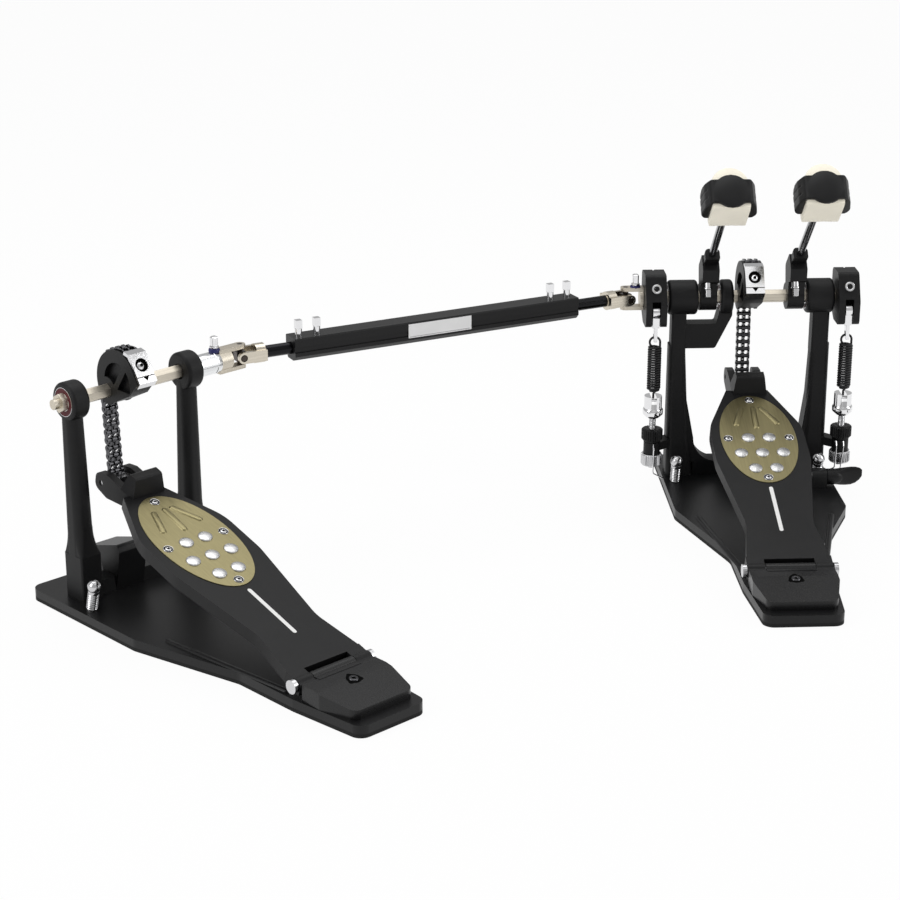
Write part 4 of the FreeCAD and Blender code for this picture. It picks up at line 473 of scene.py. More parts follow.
gold_plate = {
    side: metal("gold_" + side, GOLD, 0.34, streak=streak, bump=0.08, tone=0.10)
    for side, streak in along_board.items()
}
nickel = {
    side: metal("nickel_" + side, NICKEL, 0.42, streak=streak, bump=0.05)
    for side, streak in along_axle.items()
}
print("finishes so far:", len(bpy.data.materials) - given_materials)

# %% [markdown]
# Felt is a mat of short fibres. Hair particles would be far too heavy for it, so two layers of noise give it
# fuzz in the bump and a slightly blotchy cream, and a little sheen lifts the grazing edges.

# %% Felt
cream_felt = finish("cream_felt", (0.97, 0.915, 0.775), 0.92, grain=0.9, bump=0.6, tone=0.05,
                    gloss_drift=0.05, Sheen_Weight=0.35, Sheen_Roughness=0.5)
print("felt finish:", cream_felt.name)

# %% [markdown]
# The drive rods are blackened steel pressed into nickel yokes, and each rod with its yoke is one part of the
# frame. Two materials would need faces that end where the yoke does. One material does it here: its colour
# changes at a place along the shaft, and the mask measures the distance from the joint.

# %% Rods with nickel yokes
YOKE_LENGTH = 20.5
ROD_BLACK = (0.02, 0.02, 0.022, 1)


def make_rod_finish(name, joint_name, toward):
    """Nickel from the joint to the end of the yoke, black steel beyond it."""
    material = metal(name, NICKEL, 0.24, streak=along_shaft, bump=0.05)
    tree = material.node_tree
    link = tree.links.new
    base_colour = tree.nodes["Principled BSDF"].inputs["Base Color"]
    nickel_colour = base_colour.links[0].from_socket
    coords = add_node(tree, "TexCoord")
    away = add_node(tree, "VectorMath", "SUBTRACT", second=joints[joint_name]["pos_m"])
    along = add_node(tree, "VectorMath", "DOT_PRODUCT", second=toward)
    past = add_node(tree, "Math", "GREATER_THAN", second=YOKE_LENGTH * MM)
    blend = add_node(tree, "Mix")
    blend.data_type = "RGBA"
    blend.inputs["B"].default_value = ROD_BLACK
    link(coords.outputs["Object"], away.inputs[0])
    link(away.outputs[0], along.inputs[0])
    link(along.outputs["Value"], past.inputs[0])
    link(past.outputs[0], blend.inputs["Factor"])
    link(nickel_colour, blend.inputs["A"])
    link(blend.outputs["Result"], base_colour)
    return material


rod_steel = {
    "left": make_rod_finish("left_rod_steel", "left_rod_spin", shaft_x),
    "right": make_rod_finish("right_rod_steel", "shaft_spin", -shaft_x),
}
print("rods change from nickel to black at", YOKE_LENGTH, "mm from the joint")

# %% [markdown]
# ## Finishing the frame's own parts
# Most parts keep the shape they came with. A casting gets a narrow rounded edge from a weld and a bevel, so
# its edges catch the light, and weighted normals keep its large faces flat. The saddles that hold the felt
# are plastic mouldings whose corners run into each other: an even remesh and some rounds of smoothing melt
# them, which a bevel can't do where many short edges meet.

# %% Dressing helpers
WELD_WITHIN = 1e-6
FLAT_FACE_WEIGHT = 80
SADDLE_CELL, SADDLE_ROUNDS = 0.5, 12


def dress(name, material, edge=0.0):
    """Gives a part of the frame its finish and, where asked, a rounded edge in millimetres."""
    part = nodes[name]
    part.data.materials.clear()
    part.data.materials.append(material)
    if edge:
        weld = part.modifiers.new("weld", "WELD")
        weld.merge_threshold = WELD_WITHIN
        soften(part, edge)
        level = part.modifiers.new("level_faces", "WEIGHTED_NORMAL")
        level.weight = FLAT_FACE_WEIGHT
        level.keep_sharp = False


def mould(name):
    """Melts the corners of a part into each other, as in a plastic moulding."""
    part = nodes[name]
    cells = part.modifiers.new("even_cells", "REMESH")
    cells.mode = "VOXEL"
    cells.voxel_size = SADDLE_CELL * MM
    cells.use_smooth_shade = True
    melt = part.modifiers.new("melted_corners", "SMOOTH")
    melt.factor = 0.5
    melt.iterations = SADDLE_ROUNDS


print("saddle cells:", SADDLE_CELL, "mm")

# %% [markdown]
# The widest rounding goes to the plates and castings, which are coated after tumbling. Machined axles and
# fittings stay crisp, and chain, beater rods and bearings are left as they came.

# %% Put the finishes on
PLATE_EDGE, CAST_EDGE, FITTING_EDGE, AXLE_EDGE = 0.8, 0.7, 0.4, 0.3
SOFT_EDGE, TUBE_EDGE, FELT_EDGE = 0.6, 0.5, 1.0

for side in ("main", "slave"):
    dress(side + "_base", base_black, PLATE_EDGE)
    dress(side + "_sole", sole_rubber, SOFT_EDGE)
    dress(side + "_left_tower", powder_black, CAST_EDGE)
    dress(side + "_right_tower", powder_black, CAST_EDGE)
    dress(side + "_bearings", dull_chrome)
    dress(side + "_heel_plate", gloss_black, PLATE_EDGE)
    dress(side + "_hardware", dull_chrome)
    dress(side + "_footboard", satin_black, CAST_EDGE)
    dress(side + "_grip_plate", gold_plate[side])
    dress(side + "_grip_studs", chrome)
    dress(side + "_chain_anchor", dull_chrome, FITTING_EDGE)
    for stretch in ("run", "step", "wrap"):
        dress(side + "_chain_" + stretch, chain_black)
    dress(side + "_cam", satin_black, FITTING_EDGE)
    dress(side + "_chain_clamp", clamp_chrome, FITTING_EDGE)
    dress(side + "_axle", nickel[side], AXLE_EDGE)
for side in ("left", "right"):
    dress(side + "_beater_hub", satin_black, CAST_EDGE)
    dress(side + "_beater_rod", rod_chrome)
    dress(side + "_beater_felt", cream_felt, FELT_EDGE)
    dress(side + "_beater_saddle", moulded_black)
    mould(side + "_beater_saddle")
    dress(side + "_spring_lever", satin_black, CAST_EDGE)
    dress(side + "_spring_link", chrome, FITTING_EDGE)
    dress(side + "_spring", spring_black)
    dress(side + "_tension_knob", moulded_black, FITTING_EDGE)
    dress(side + "_joint_cross", cross_steel, AXLE_EDGE)
    dress("shaft_" + side + "_rod", rod_steel[side], AXLE_EDGE)
dress("stub_axle", nickel["main"], AXLE_EDGE)
dress("tension_posts", chrome, AXLE_EDGE)
dress("hoop_jaw", base_black, PLATE_EDGE)
dress("wing_screw", moulded_black, SOFT_EDGE)
dress("shaft_tube", tube_black, TUBE_EDGE)
dress("shaft_bolts", chrome, FITTING_EDGE)
print("dressed", len(nodes), "parts")

# %% [markdown]
# ## Felt
# The striking block is pressed felt: the same outline as the frame's block, but with soft rounded rims and
# faces that aren't quite flat. Sculpting would do, but the outline is drawn once here, seen along the rod,
# and stacked in layers that pull in towards both rims, so both blocks are sure to be alike.

# %% Felt blocks
FELT_WIDE, FELT_FRONT, FELT_BACK, FELT_CROWN = 15.7, 23.6, 14.0, 15.5
FELT_TAPER, TAPER_LONG = 0.6, 3.0
CROWN_STEPS, EDGE_STEPS = 24, 8
FELT_WOBBLE = 0.12
FELT_LAYERS = [
    (0.0, 2.4), (0.25, 1.2), (0.9, 0.5), (2.0, 0.1), (6.0, 0.0), (11.0, 0.0),
    (16.0, 0.0), (21.0, 0.0), (27.0, 0.0), (30.6, 0.3), (31.8, 0.9), (32.3, 2.0),
]


def felt_outline():
    """Round towards the drum, flat towards the player, with a tapered corner on each side."""
    shoulder = FELT_FRONT - FELT_CROWN
    radius = (FELT_WIDE ** 2 + FELT_CROWN ** 2) / (2 * FELT_CROWN)
    middle = FELT_FRONT - radius
    start = math.atan2(shoulder - middle, FELT_WIDE)
    points = []
    for k in range(CROWN_STEPS + 1):
        angle = start + (math.pi - 2 * start) * k / CROWN_STEPS
        points.append(on_circle(radius, angle, 0.0, middle))
    corner = TAPER_LONG - FELT_BACK
    corners = [(-FELT_WIDE, shoulder), (-FELT_WIDE, corner), (FELT_TAPER - FELT_WIDE, -FELT_BACK),
               (FELT_WIDE - FELT_TAPER, -FELT_BACK), (FELT_WIDE, corner), (FELT_WIDE, shoulder)]
    for (x0, y0), (x1, y1) in zip(corners, corners[1:]):
        for k in range(1, EDGE_STEPS + 1):
            points.append((x0 + (x1 - x0) * k / EDGE_STEPS, y0 + (y1 - y0) * k / EDGE_STEPS))
    return points[:-1]


def felt_body(builder):
    """Layers of the outline, a little uneven, pulled in at both rims."""
    rings = []
    for rise, inset in FELT_LAYERS:
        ring = []
        for k, (x, y) in enumerate(felt_outline()):
            shrink = 1 - inset / math.hypot(x, y)
            wobble = FELT_WOBBLE * math.sin(1.7 * k + 0.9 * rise) * math.sin(0.6 * k - 0.4 * rise)
            ring.append(builder.verts.new((x * shrink, y * shrink + wobble, rise)))
        rings.append(ring)
    skin(builder, rings)


for side in ("left", "right"):
    felt = add_piece(side + "_felt_block", felt_body, head_frame[side], cream_felt, side + "_beater")
    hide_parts(side + "_beater_felt")
print("felt blocks: 2, of", len(FELT_LAYERS), "layers")

# %% [markdown]
# ## Springs
# Each tension spring is one wire: a straight foot, a close-wound body that narrows at its top turn, and a
# round hook. A screw modifier would wind the body only, so the whole path is written out instead. The spring
# stretches between the frame below and the link above.

# %% Tension springs
LEVER_X = {"left": -78.9, "right": 87.5}
SPRING_Y = -17.0
COIL_FOOT, COIL_TOP, COIL_TURNS, COIL_RADIUS, COIL_WIRE = 90.0, 131.5, 19, 5.1, 0.98
STEPS_PER_TURN = 20
WIRE_FOOT, FOOT_STEP = 84.0, 0.6
HOOK_CENTRE, HOOK_RADIUS = 135.0, 4.5


def spring_path(x):
    """Middle of the wire: straight foot, coil and hook."""
    points = [(x, SPRING_Y, WIRE_FOOT + FOOT_STEP * k) for k in range(8)]
    steps = STEPS_PER_TURN * COIL_TURNS
    for k in range(steps + 1):
        share = k / steps
        angle = 2 * math.pi * COIL_TURNS * share
        foot_turn, top_turn = 0.25 + 12 * share, 0.88 + 3.0 * (1 - share)
        radius = COIL_RADIUS * min(1.0, foot_turn, top_turn)
        rise = COIL_FOOT + (COIL_TOP - COIL_FOOT) * share
        points.append((*on_circle(radius, angle, x, SPRING_Y), rise))
    for degrees in range(0, 250, 10):
        across, rise = on_circle(HOOK_RADIUS, math.radians(degrees), x, HOOK_CENTRE)
        points.append((across, SPRING_Y, rise))
    return points


for side, x in LEVER_X.items():
    coil = add_piece(side + "_spring_coil", sweep(spring_path(x), COIL_WIRE), to_metres, spring_black, None)
    coil.data.set_sharp_from_angle(angle=math.radians(80))
    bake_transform(coil)
    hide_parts(side + "_spring")
print("springs: 2 with", COIL_TURNS, "turns")

# %% [markdown]
# ## Tension knobs
# The ribs of a knurled knob could be cut with an array of grooves and a boolean. An outline like a small
# gear, stacked in four rings and pulled in a little at both rims, gives the same ribs with far fewer faces.

# %% Ribbed rings
def ribbed(x, radius, depth, ribs, low, high, edge):
    """Ribbed ring round a tension post, with a chamfer at both rims."""
    def build(builder):
        steps = ribs * 4
        rings = []
        for rise, inset in ((low, edge), (low + edge, 0.0), (high - edge, 0.0), (high, edge)):
            ring = []
            for k in range(steps):
                groove = depth if k % 4 in (2, 3) else 0.0
                reach = radius - inset - groove
                spot = (*on_circle(reach, 2 * math.pi * k / steps, x, SPRING_Y), rise)
                ring.append(builder.verts.new(spot))
            rings.append(ring)
        skin(builder, rings)
    return build


KNOB_RIBS, KNOB_LOW, KNOB_HIGH = 26, 46.6, 56.4
for side, x in LEVER_X.items():
    centre = (x, SPRING_Y, 0)
    grip = ribbed(x, radius=9.3, depth=0.7, ribs=KNOB_RIBS, low=KNOB_LOW, high=KNOB_HIGH, edge=0.9)
    under = lathe([(0, 44.7), (7.0, 44.7), (7.6, 45.4), (7.6, 47.0), (0, 47.0)], 48, centre)
    over = lathe([(0, 56.0), (7.2, 56.0), (7.0, 56.7), (4.2, 56.7), (3.8, 56.2), (0, 56.2)], 48, centre)
    knob = add_piece(side + "_knob_ribs", several(grip, under, over), to_metres, moulded_black,
                     side + "_tension_knob", smooth=False)
    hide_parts(side + "_tension_knob")
print("knobs: 2 with", KNOB_RIBS, "ribs")

# %% [markdown]
# ## Posts, lock nuts and swivels
# Under the knob runs a threaded post with a knurled lock nut. The swivel above it is a turned cup with two
# cheeks, open at the front for the spring's foot, with a pin across and a small screw in its face. The thread
# is lathed as plain grooves: at this pitch nobody can see that they don't climb.

# %% Threads and swivel cheeks
CHEEK_RADIUS, CHEEK_LOW, CHEEK_HIGH = 7.7, 74.5, 86.5
SLOT_HALF, CHEEK_HALF = 2.3, 7.3


def thread_profile(radius, depth, low, high, pitch):
    """Half section of a threaded rod."""
    points = [(0, low), (radius - depth, low)]
    rise = low
    while rise + pitch <= high:
        points += [(radius, rise + pitch / 2), (radius - depth, rise + pitch)]
        rise += pitch
    return points + [(radius - depth, high), (0, high)]


def swivel_cheek(sign, x):
    """One side of the swivel: a segment of a disc, cut straight along the slot."""
    outline = []
    for degrees in range(-72, 84, 12):
        across, along = on_circle(CHEEK_RADIUS, math.radians(degrees))
        outline.append((x + sign * across, SPRING_Y + along))
    outline += [(x + sign * SLOT_HALF, SPRING_Y + CHEEK_HALF), (x + sign * SLOT_HALF, SPRING_Y - CHEEK_HALF)]
    return extrude(outline, CHEEK_LOW, CHEEK_HIGH)


print("swivel slot:", 2 * SLOT_HALF, "mm wide")

# %% [markdown]
# All of these stand still on the main frame, so each side needs three pieces: the chromed swivel with its
# bevelled edges, the thread and the nut. The swivels take the place of the plain posts of the frame.

# %% Lock nuts, threaded posts and swivels
for side, x in LEVER_X.items():
    centre = (x, SPRING_Y, 0)
    cup = lathe([(0, 67.0), (5.6, 67.0), (8.6, 70.0), (8.8, 70.6), (8.8, 74.4), (8.2, 75.2), (0, 75.2)],
                48, centre)
    pin = lathe([(0, -6.0), (1.3, -6.0), (1.3, 6.0), (0, 6.0)], 16, (x, SPRING_Y - 1.0, 82.5), "X")
    screw = lathe([(0, -9.7), (1.3, -9.7), (1.9, -9.3), (1.9, -8.0), (0, -8.0)],
                  20, (x + 4.2, SPRING_Y + 1.0, 72.4), "Y")
    post = lathe(thread_profile(radius=3.0, depth=0.35, low=20.4, high=67.2, pitch=1.25), 28, centre)
    nut_core = lathe([(0, 23.3), (8.4, 23.3), (8.4, 33.8), (0, 33.8)], 40, centre)
    nut_ribs = ribbed(x, radius=9.2, depth=0.55, ribs=30, low=23.8, high=33.3, edge=0.6)
    swivel = add_piece(side + "_swivel", several(cup, swivel_cheek(-1, x), swivel_cheek(1, x), pin, screw),
                       to_metres, chrome, "main_frame", bevel=0.4)
    thread = add_piece(side + "_post_thread", post, to_metres, dull_chrome, "main_frame")
    nut = add_piece(side + "_lock_nut", several(nut_core, nut_ribs), to_metres, dull_chrome, "main_frame",
                    smooth=False)
    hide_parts("tension_posts")
print("swivels, posts and lock nuts: 2 sets")

# %% [markdown]
# ## Detent wires
# A bent spring wire in front of each boss keeps the knob from creeping: down past the lock nut, then out to
# the foot of the tower. The right tower shows two of them. Only the corners are written down, and a small
# curve rounds each of them, as the bending pliers do.

# %% Bent wires
DETENT_WIRE, WIRE_BEND, BEND_STEPS = 0.62, 2.0, 5


def bent_wire(corners):
    """Wire through the corners, each rounded."""
    path = [Vector(corners[0])]
    for before, here, after in zip(corners, corners[1:], corners[2:]):
        here = Vector(here)
        start = here + (Vector(before) - here).normalized() * WIRE_BEND
        end = here + (Vector(after) - here).normalized() * WIRE_BEND
        for k in range(BEND_STEPS + 1):
            t = k / BEND_STEPS
            path.append(start.lerp(here, t).lerp(here.lerp(end, t), t))
    path.append(Vector(corners[-1]))
    return sweep(path, DETENT_WIRE, sides=8)


left, right = LEVER_X["left"], LEVER_X["right"]
top, front = SPRING_Y - 7.4, SPRING_Y - 9.9
detent_runs = {
    "left": [
        [(left + 0.5, top, 44.0), (left + 0.6, front, 40.0), (left + 0.2, front, 18.0),
         (left + 11.0, front + 6.0, 10.6)],
    ],
    "right": [
        [(right + 1.0, top, 44.0), (right + 1.0, front, 40.0), (right - 1.0, front, 17.0),
         (right - 11.5, front + 6.0, 10.6)],
        [(right - 5.0, top + 1.4, 44.0), (right - 5.0, front + 1.2, 40.0), (right - 5.6, front + 1.2, 20.0),
         (right - 11.5, front + 7.0, 15.0)],
    ],
}
for side, runs in detent_runs.items():
    wires = several(*[bent_wire(run) for run in runs])
    wire = add_piece(side + "_detent_wire", wires, to_metres, chrome, "main_frame")
print("detent wires:", sum(len(runs) for runs in detent_runs.values()))

# %% [markdown]
# ## Bearing seals
# Every open bearing shows a dark crimson rubber seal between two thin machined races, and the inner faces of
# the slave towers carry plain black dust shields. A texture on the bearing would blur at the edges, so each
# is a thin ring of its own. A ring has an inner and an outer radius, and its back and front are so far below
# the bearing's face. The sign after each place says which way that face looks.

# %% Seals, races and shields
INNER_RACE, OUTER_RACE = (6.3, 7.05, 0.62, 0.1), (10.9, 11.3, 0.5, -0.06)
SEAL, SHIELD = (7.0, 10.95, 0.62, 0.25), (6.25, 10.6, 0.6, -0.08)
BEARING_FACES = {
    "main": [(-67.0, -1), (-41.5, 1), (52.6, -1), (76.6, 1), (-22.0, -1), (-11.0, 1)],
    "slave": [(-46.6, -1), (75.6, 1)],
}
SHIELD_FACES = [(61.0, -1), (-31.6, 1)]


def face_ring(ring, x, out):
    """Flat ring round the axle, in the face of a bearing."""
    inner, outer, back, front = ring
    x0, x1 = x - out * back, x - out * front
    profile = [(inner, x0), (outer, x0), (outer, x1), (inner, x1)]
    return lathe(profile, 56, (0, 0, AXLE_HEIGHT), "X")


for side, faces in BEARING_FACES.items():
    seals, races = [], []
    for x, out in faces:
        seals.append(face_ring(SEAL, x, out))
        races.append(face_ring(OUTER_RACE, x, out))
        races.append(face_ring(INNER_RACE, x, out))
    seal = add_piece(side + "_bearing_seals", several(*seals), pedal_frame[side], crimson_seal,
                     side + "_frame")
    rim = add_piece(side + "_bearing_rims", several(*races), pedal_frame[side], dull_chrome, side + "_frame")
shields = [face_ring(SHIELD, x, out) for x, out in SHIELD_FACES]
shield = add_piece("slave_dust_shields", several(*shields), pedal_frame["slave"], powder_black, "slave_frame")
print("bearing faces:", sum(len(faces) for faces in BEARING_FACES.values()), "shields:", len(SHIELD_FACES))

# %% [markdown]
# ## Bolts
# The pedal is adjusted with a drum key, so most of its bolts have a small square head. They are turned,
# slightly crowned and chromed, and two of them stand on washers of dark blue nylon. The head is a stack of
# eight-sided rings, because a bevelled cube would round its crown and its corners alike.

# %% Square key bolts
BOLT_RADIUS, BOLT_COLLAR, CORNER_CUT, CROWN = 3.1, 0.7, 0.9, 0.7
BOLT_EDGE = 0.25


def key_bolt(neck, square, tall):
    """Bolt along +Z from the origin: neck, collar and square crowned head."""
    wide = BOLT_RADIUS + BOLT_COLLAR
    stem = lathe([(0, -1.0), (BOLT_RADIUS, -1.0), (BOLT_RADIUS, neck - 1.4), (wide, neck - 1.2),
                  (wide, neck), (0, neck)], 28)

    def head(builder):
        rings = []
        for rise, inset in ((neck, 0.4), (neck + 0.4, 0.0), (neck + tall - CROWN, 0.0), (neck + tall, CROWN)):
            far = square / 2 - inset
            near = far - CORNER_CUT
            octagon = [(near, -far), (far, -near), (far, near), (near, far),
                       (-near, far), (-far, near), (-far, -near), (-near, -far)]
            rings.append([builder.verts.new((a, b, rise)) for a, b in octagon])
        skin(builder, rings)
    return several(stem, head)


def nylon_washer(radius, thick):
    """Washer with a bulging rim."""
    profile = [(2.6, 0), (radius, 0), (radius + 0.5, thick * 0.5), (radius, thick), (2.6, thick)]
    return lathe(profile, 28)


AXLE_BOLTS = {
    "stub": ("main", "left_axle", (-95.0, 0, AXLE_HEIGHT + 8.0)),
    "collar": ("slave", "slave_axle", (96.5, 0, AXLE_HEIGHT + 8.3)),
}
for name, (side, body, foot) in AXLE_BOLTS.items():
    spot = Matrix.Translation(foot)
    square_bolt = moved(key_bolt(neck=5.0, square=5.4, tall=8.0), spot)
    blue_washer = moved(nylon_washer(radius=4.2, thick=3.2), spot)
    bolt = add_piece(name + "_key_bolt", square_bolt, pedal_frame[side], chrome, body, bevel=BOLT_EDGE)
    washer = add_piece(name + "_nylon_washer", blue_washer, pedal_frame[side], blue_nylon, body)
print("key bolts on the axles:", len(AXLE_BOLTS))

# %% [markdown]
# The same bolt clamps each beater rod in its hub. It is set in the beater's own frame, where the hub's face
# lies at the same place on both sides, and a turn lays it against that face.

# %% Hub bolts
HUB_BODY = {"left": "left_axle", "right": "main_axle"}
HUB_BOLT_TURN = math.radians(113.1)
hub_face = Matrix.Translation((-2.0, 2.45, 21.3)) @ Matrix.Rotation(HUB_BOLT_TURN, 4, "X")
square_bolt = moved(key_bolt(neck=5.4, square=5.5, tall=7.3), hub_face)
for side, body in HUB_BODY.items():
    bolt = add_piece(side + "_hub_bolt", square_bolt, beater_frame[side], chrome, body, bevel=BOLT_EDGE)
print("hub bolts:", len(HUB_BODY))

# %% [markdown]
# The spring levers are held by round bolts with a dished socket. A closed half section that dips in the
# middle makes head and socket in one turn, and a mirrored frame points it out of the sloping lever.

# %% Socket bolts of the spring levers
LEVER_SLOPE = math.atan2(11.5, 23.0)
LEVER_FACE = (-17.02, AXLE_HEIGHT + 11.96)


def socket_bolt(radius, tall, socket):
    """Round head along Y with a dished socket in it."""
    profile = [(0, 1.3), (socket * 0.6, 1.25), (socket, 1.3), (socket, tall - 0.2), (socket + 0.3, tall),
               (radius - 0.7, tall), (radius - 0.2, tall - 0.3), (radius, tall - 0.8), (radius, -0.5),
               (0, -0.5)]
    return lathe(profile, 40, axis="Y")


outward = Matrix.Rotation(-LEVER_SLOPE, 4, "X") @ Matrix.Scale(-1, 4, (0, 1, 0))
for side, body in HUB_BODY.items():
    spot = Matrix.Translation((LEVER_X[side], *LEVER_FACE)) @ outward
    round_bolt = moved(socket_bolt(radius=4.6, tall=2.1, socket=2.3), spot)
    bolt = add_piece(side + "_lever_bolt", round_bolt, to_metres, chrome, body)
print("lever bolts:", len(HUB_BODY))

# %% [markdown]
# ## Collar on the slave axle
# The drive end of the slave axle carries a bright turned collar with a groove near its end. It is a sleeve a
# little larger than the axle, lathed from a closed section, so that the axle itself stays as it came.

# %% Bright collar
COLLAR_SECTION = [
    (8.0, 76.2), (8.6, 76.2), (8.95, 76.6), (8.95, 92.6), (8.6, 92.9),
    (8.6, 93.5), (8.95, 93.8), (8.95, 97.6), (8.6, 98.1), (8.0, 98.1),
]
collar = add_piece("slave_collar", lathe(COLLAR_SECTION, 64, (0, 0, AXLE_HEIGHT), "X"), pedal_frame["slave"],
                   collar_steel, "slave_axle")
print("collar:", round(COLLAR_SECTION[-1][1] - COLLAR_SECTION[0][1], 1), "mm long")

# %% [markdown]
# ## Spur threads
# Under its ball each spur screw shows a few turns of thread before it goes into the base. The thread is the
# same half section as on the tension posts, only coarser, and leans with the spur.

# %% Threads of the spur screws
BASE_LEFT = {"main": 68.0, "slave": 58.0}
BASE_RIGHT = 79.0
LEFT_INSET, RIGHT_INSET = 9.5, 12.5
SPUR_Y, SPUR_Z = -30.0, 30.0
SPUR_TILT = math.radians(14.0)

neck = lathe([(0, 3.0), (4.4, 3.4), (4.5, 4.6), (3.9, 6.4), (0, 6.4)], 32)
stem = lathe(thread_profile(radius=4.5, depth=0.7, low=6.2, high=20.0, pitch=1.7), 32)
spur = several(neck, stem)
for side, left_edge in BASE_LEFT.items():
    threads = []
    for x in (LEFT_INSET - left_edge, BASE_RIGHT - RIGHT_INSET):
        spot = Matrix.Translation((x, SPUR_Y, SPUR_Z)) @ Matrix.Rotation(math.pi + SPUR_TILT, 4, "X")
        threads.append(moved(spur, spot))
    thread = add_piece(side + "_spur_threads", several(*threads), pedal_frame[side], dull_chrome,
                       side + "_frame")
print("spur threads:", 2 * len(BASE_LEFT))

# %% [markdown]
# ## Footboard details
# A white inlay line runs up each board, and the gold plate has three raised ribs that fan out from its top.
# A painted texture could show the line, but a thin body that stands a few hundredths out of the coat keeps a
# sharp edge at any distance. The ribs are stacked strips with round ends.

# %% Inlay lines and ribs
BOARD_TOP, PLATE_TOP = 4.4, 5.0
RIBS = [((-9.4, 204.0), (-16.2, 183.0)), ((1.2, 204.5), (0.4, 179.0)), ((8.2, 204.5), (18.6, 184.0))]


def rounded_strip(start, end, half, ends=8):
    """Outline of a strip with round ends."""
    start, end = Vector(start), Vector(end)
    along = (end - start).normalized()
    across = Vector((-along.y, along.x))
    points = []
    for centre, first in ((end, -90), (start, 90)):
        for k in range(ends + 1):
            a, b = on_circle(half, math.radians(first + 180 * k / ends))
            points.append(tuple(centre + along * a + across * b))
    return points


def ridge(start, end, half, low, tall):
    """Rounded rib that stands on a plate."""
    def build(builder):
        rings = []
        for inset, rise in ((0.0, 0.0), (0.35, 0.55), (0.9, 0.9), (1.5, 1.0)):
            outline = rounded_strip(start, end, half - inset)
            rings.append([builder.verts.new((a, b, low + tall * rise)) for a, b in outline])
        skin(builder, rings)
    return build


line = extrude(rounded_strip((0, 44.0), (0, 97.3), half=1.6), BOARD_TOP - 0.1, BOARD_TOP + 0.06)
fan = several(*[ridge(start, end, half=2.7, low=PLATE_TOP - 0.05, tall=1.0) for start, end in RIBS])
for side in ("main", "slave"):
    inlay_or_painted_shade = add_piece(side + "_inlay_line", line, board_frame[side], white_paint, side + "_board",
                      smooth=False)
    ribs = add_piece(side + "_plate_ribs", fan, board_frame[side], gold_plate[side], side + "_board")
print("inlay lines: 2, ribs:", 2 * len(RIBS))

# %% [markdown]
# Seven domed studs stand on each gold plate. They are spun aluminium, whose turning marks throw a fan of
# reflection out from the middle; that reflection is painted into the colour as radial streaks. Noise in
# object coordinates can't follow that, so each stud carries a map that goes round its axis, and the noise is
# stretched along it.

# %% Spun finish
# The stretch and the two tones paint the fan-shaped reflection as radial streaks in the colour.
PAINTED_FAN_STRETCH = (26.0, 0.6, 0.0)
PAINTED_FAN_DARK, SILVER_AND_PAINTED_FAN_LIGHT = (0.46, 0.46, 0.47), (0.78, 0.78, 0.78)


def make_spun_silver():
    """Bright aluminium with a painted fan-shaped reflection: radial streaks that run out from the middle."""
    material = metal("spun_silver", SILVER_AND_PAINTED_FAN_LIGHT, 0.30, grain=0.5, bump=0.03, tone=0.03)
    tree = material.node_tree
    link = tree.links.new
    turns = add_node(tree, "TexCoord")
    stretch = add_node(tree, "VectorMath", "MULTIPLY", second=PAINTED_FAN_STRETCH)
    noise = add_node(tree, "TexNoise", Scale=1.0, Detail=4.0)
    ramp = add_ramp(tree, 0.35, PAINTED_FAN_DARK, 0.62, SILVER_AND_PAINTED_FAN_LIGHT)
    link(turns.outputs["UV"], stretch.inputs[0])
    link(stretch.outputs[0], noise.inputs["Vector"])
    link(noise.outputs["Fac"], ramp.inputs["Fac"])
    link(ramp.outputs["Color"], tree.nodes["Principled BSDF"].inputs["Base Color"])
    return material


spun_silver = make_spun_silver()
print("spun finish:", spun_silver.name)

# %% [markdown]
# A sphere cut flat would be too round for a stud: the real ones rise steeply at the rim and are nearly flat
# on top. So the dome is a stack of rings, and the map is written face by face while they are joined.

# %% Spun studs
STUD_RADIUS, STUD_TALL = 5.7, 1.7
STUDS = [
    (-8.8, 163.8), (8.8, 163.8), (-17.6, 143.2), (0.0, 143.2), (17.6, 143.2), (-8.8, 122.6), (8.8, 122.6),
]
DOME_STEPS = [
    (1.0, 0.0), (0.985, 0.4), (0.95, 0.62), (0.87, 0.75),
    (0.66, 0.89), (0.36, 0.97), (0.12, 0.998), (0.02, 1.0),
]


def spun_dome(x, y, segments=48):
    """Low dome with a map round its axis: U is the turn, V the distance from the middle."""
    def build(builder):
        turn_map = builder.loops.layers.uv.verify()
        rings = []
        for share, rise in DOME_STEPS:
            ring = []
            for k in range(segments):
                a, b = on_circle(STUD_RADIUS * share, 2 * math.pi * k / segments, x, y)
                ring.append(builder.verts.new((a, b, PLATE_TOP - 0.05 + STUD_TALL * rise)))
            rings.append(ring)
        for i, (low, high) in enumerate(zip(rings, rings[1:])):
            for k in range(segments):
                j = (k + 1) % segments
                face = builder.faces.new((low[k], low[j], high[j], high[k]))
                values = ((k, i), (k + 1, i), (k + 1, i + 1), (k, i + 1))
                for loop, (turn, level) in zip(face.loops, values):
                    loop[turn_map].uv = (turn / segments, DOME_STEPS[level][0])
        builder.faces.new(rings[-1])
        builder.faces.new(list(reversed(rings[0])))
    return build


domes = several(*[spun_dome(x, y) for x, y in STUDS])
print("domes drawn for each plate:", len(STUDS))

# %% [markdown]
# Four countersunk screws hold each gold plate. A boolean could sink them, but at this size a bright rim, a
# floor and a six-sided socket in painted shade, all lathed and laid on the plate, look the same and leave it
# whole. The studs are placed with them, and take the place of the frame's plain ones.

# %% Grip screws and studs
GRIP_SCREWS = [(0.0, 110.6), (0.0, 216.4), (-25.8, 163.5), (25.8, 163.5)]


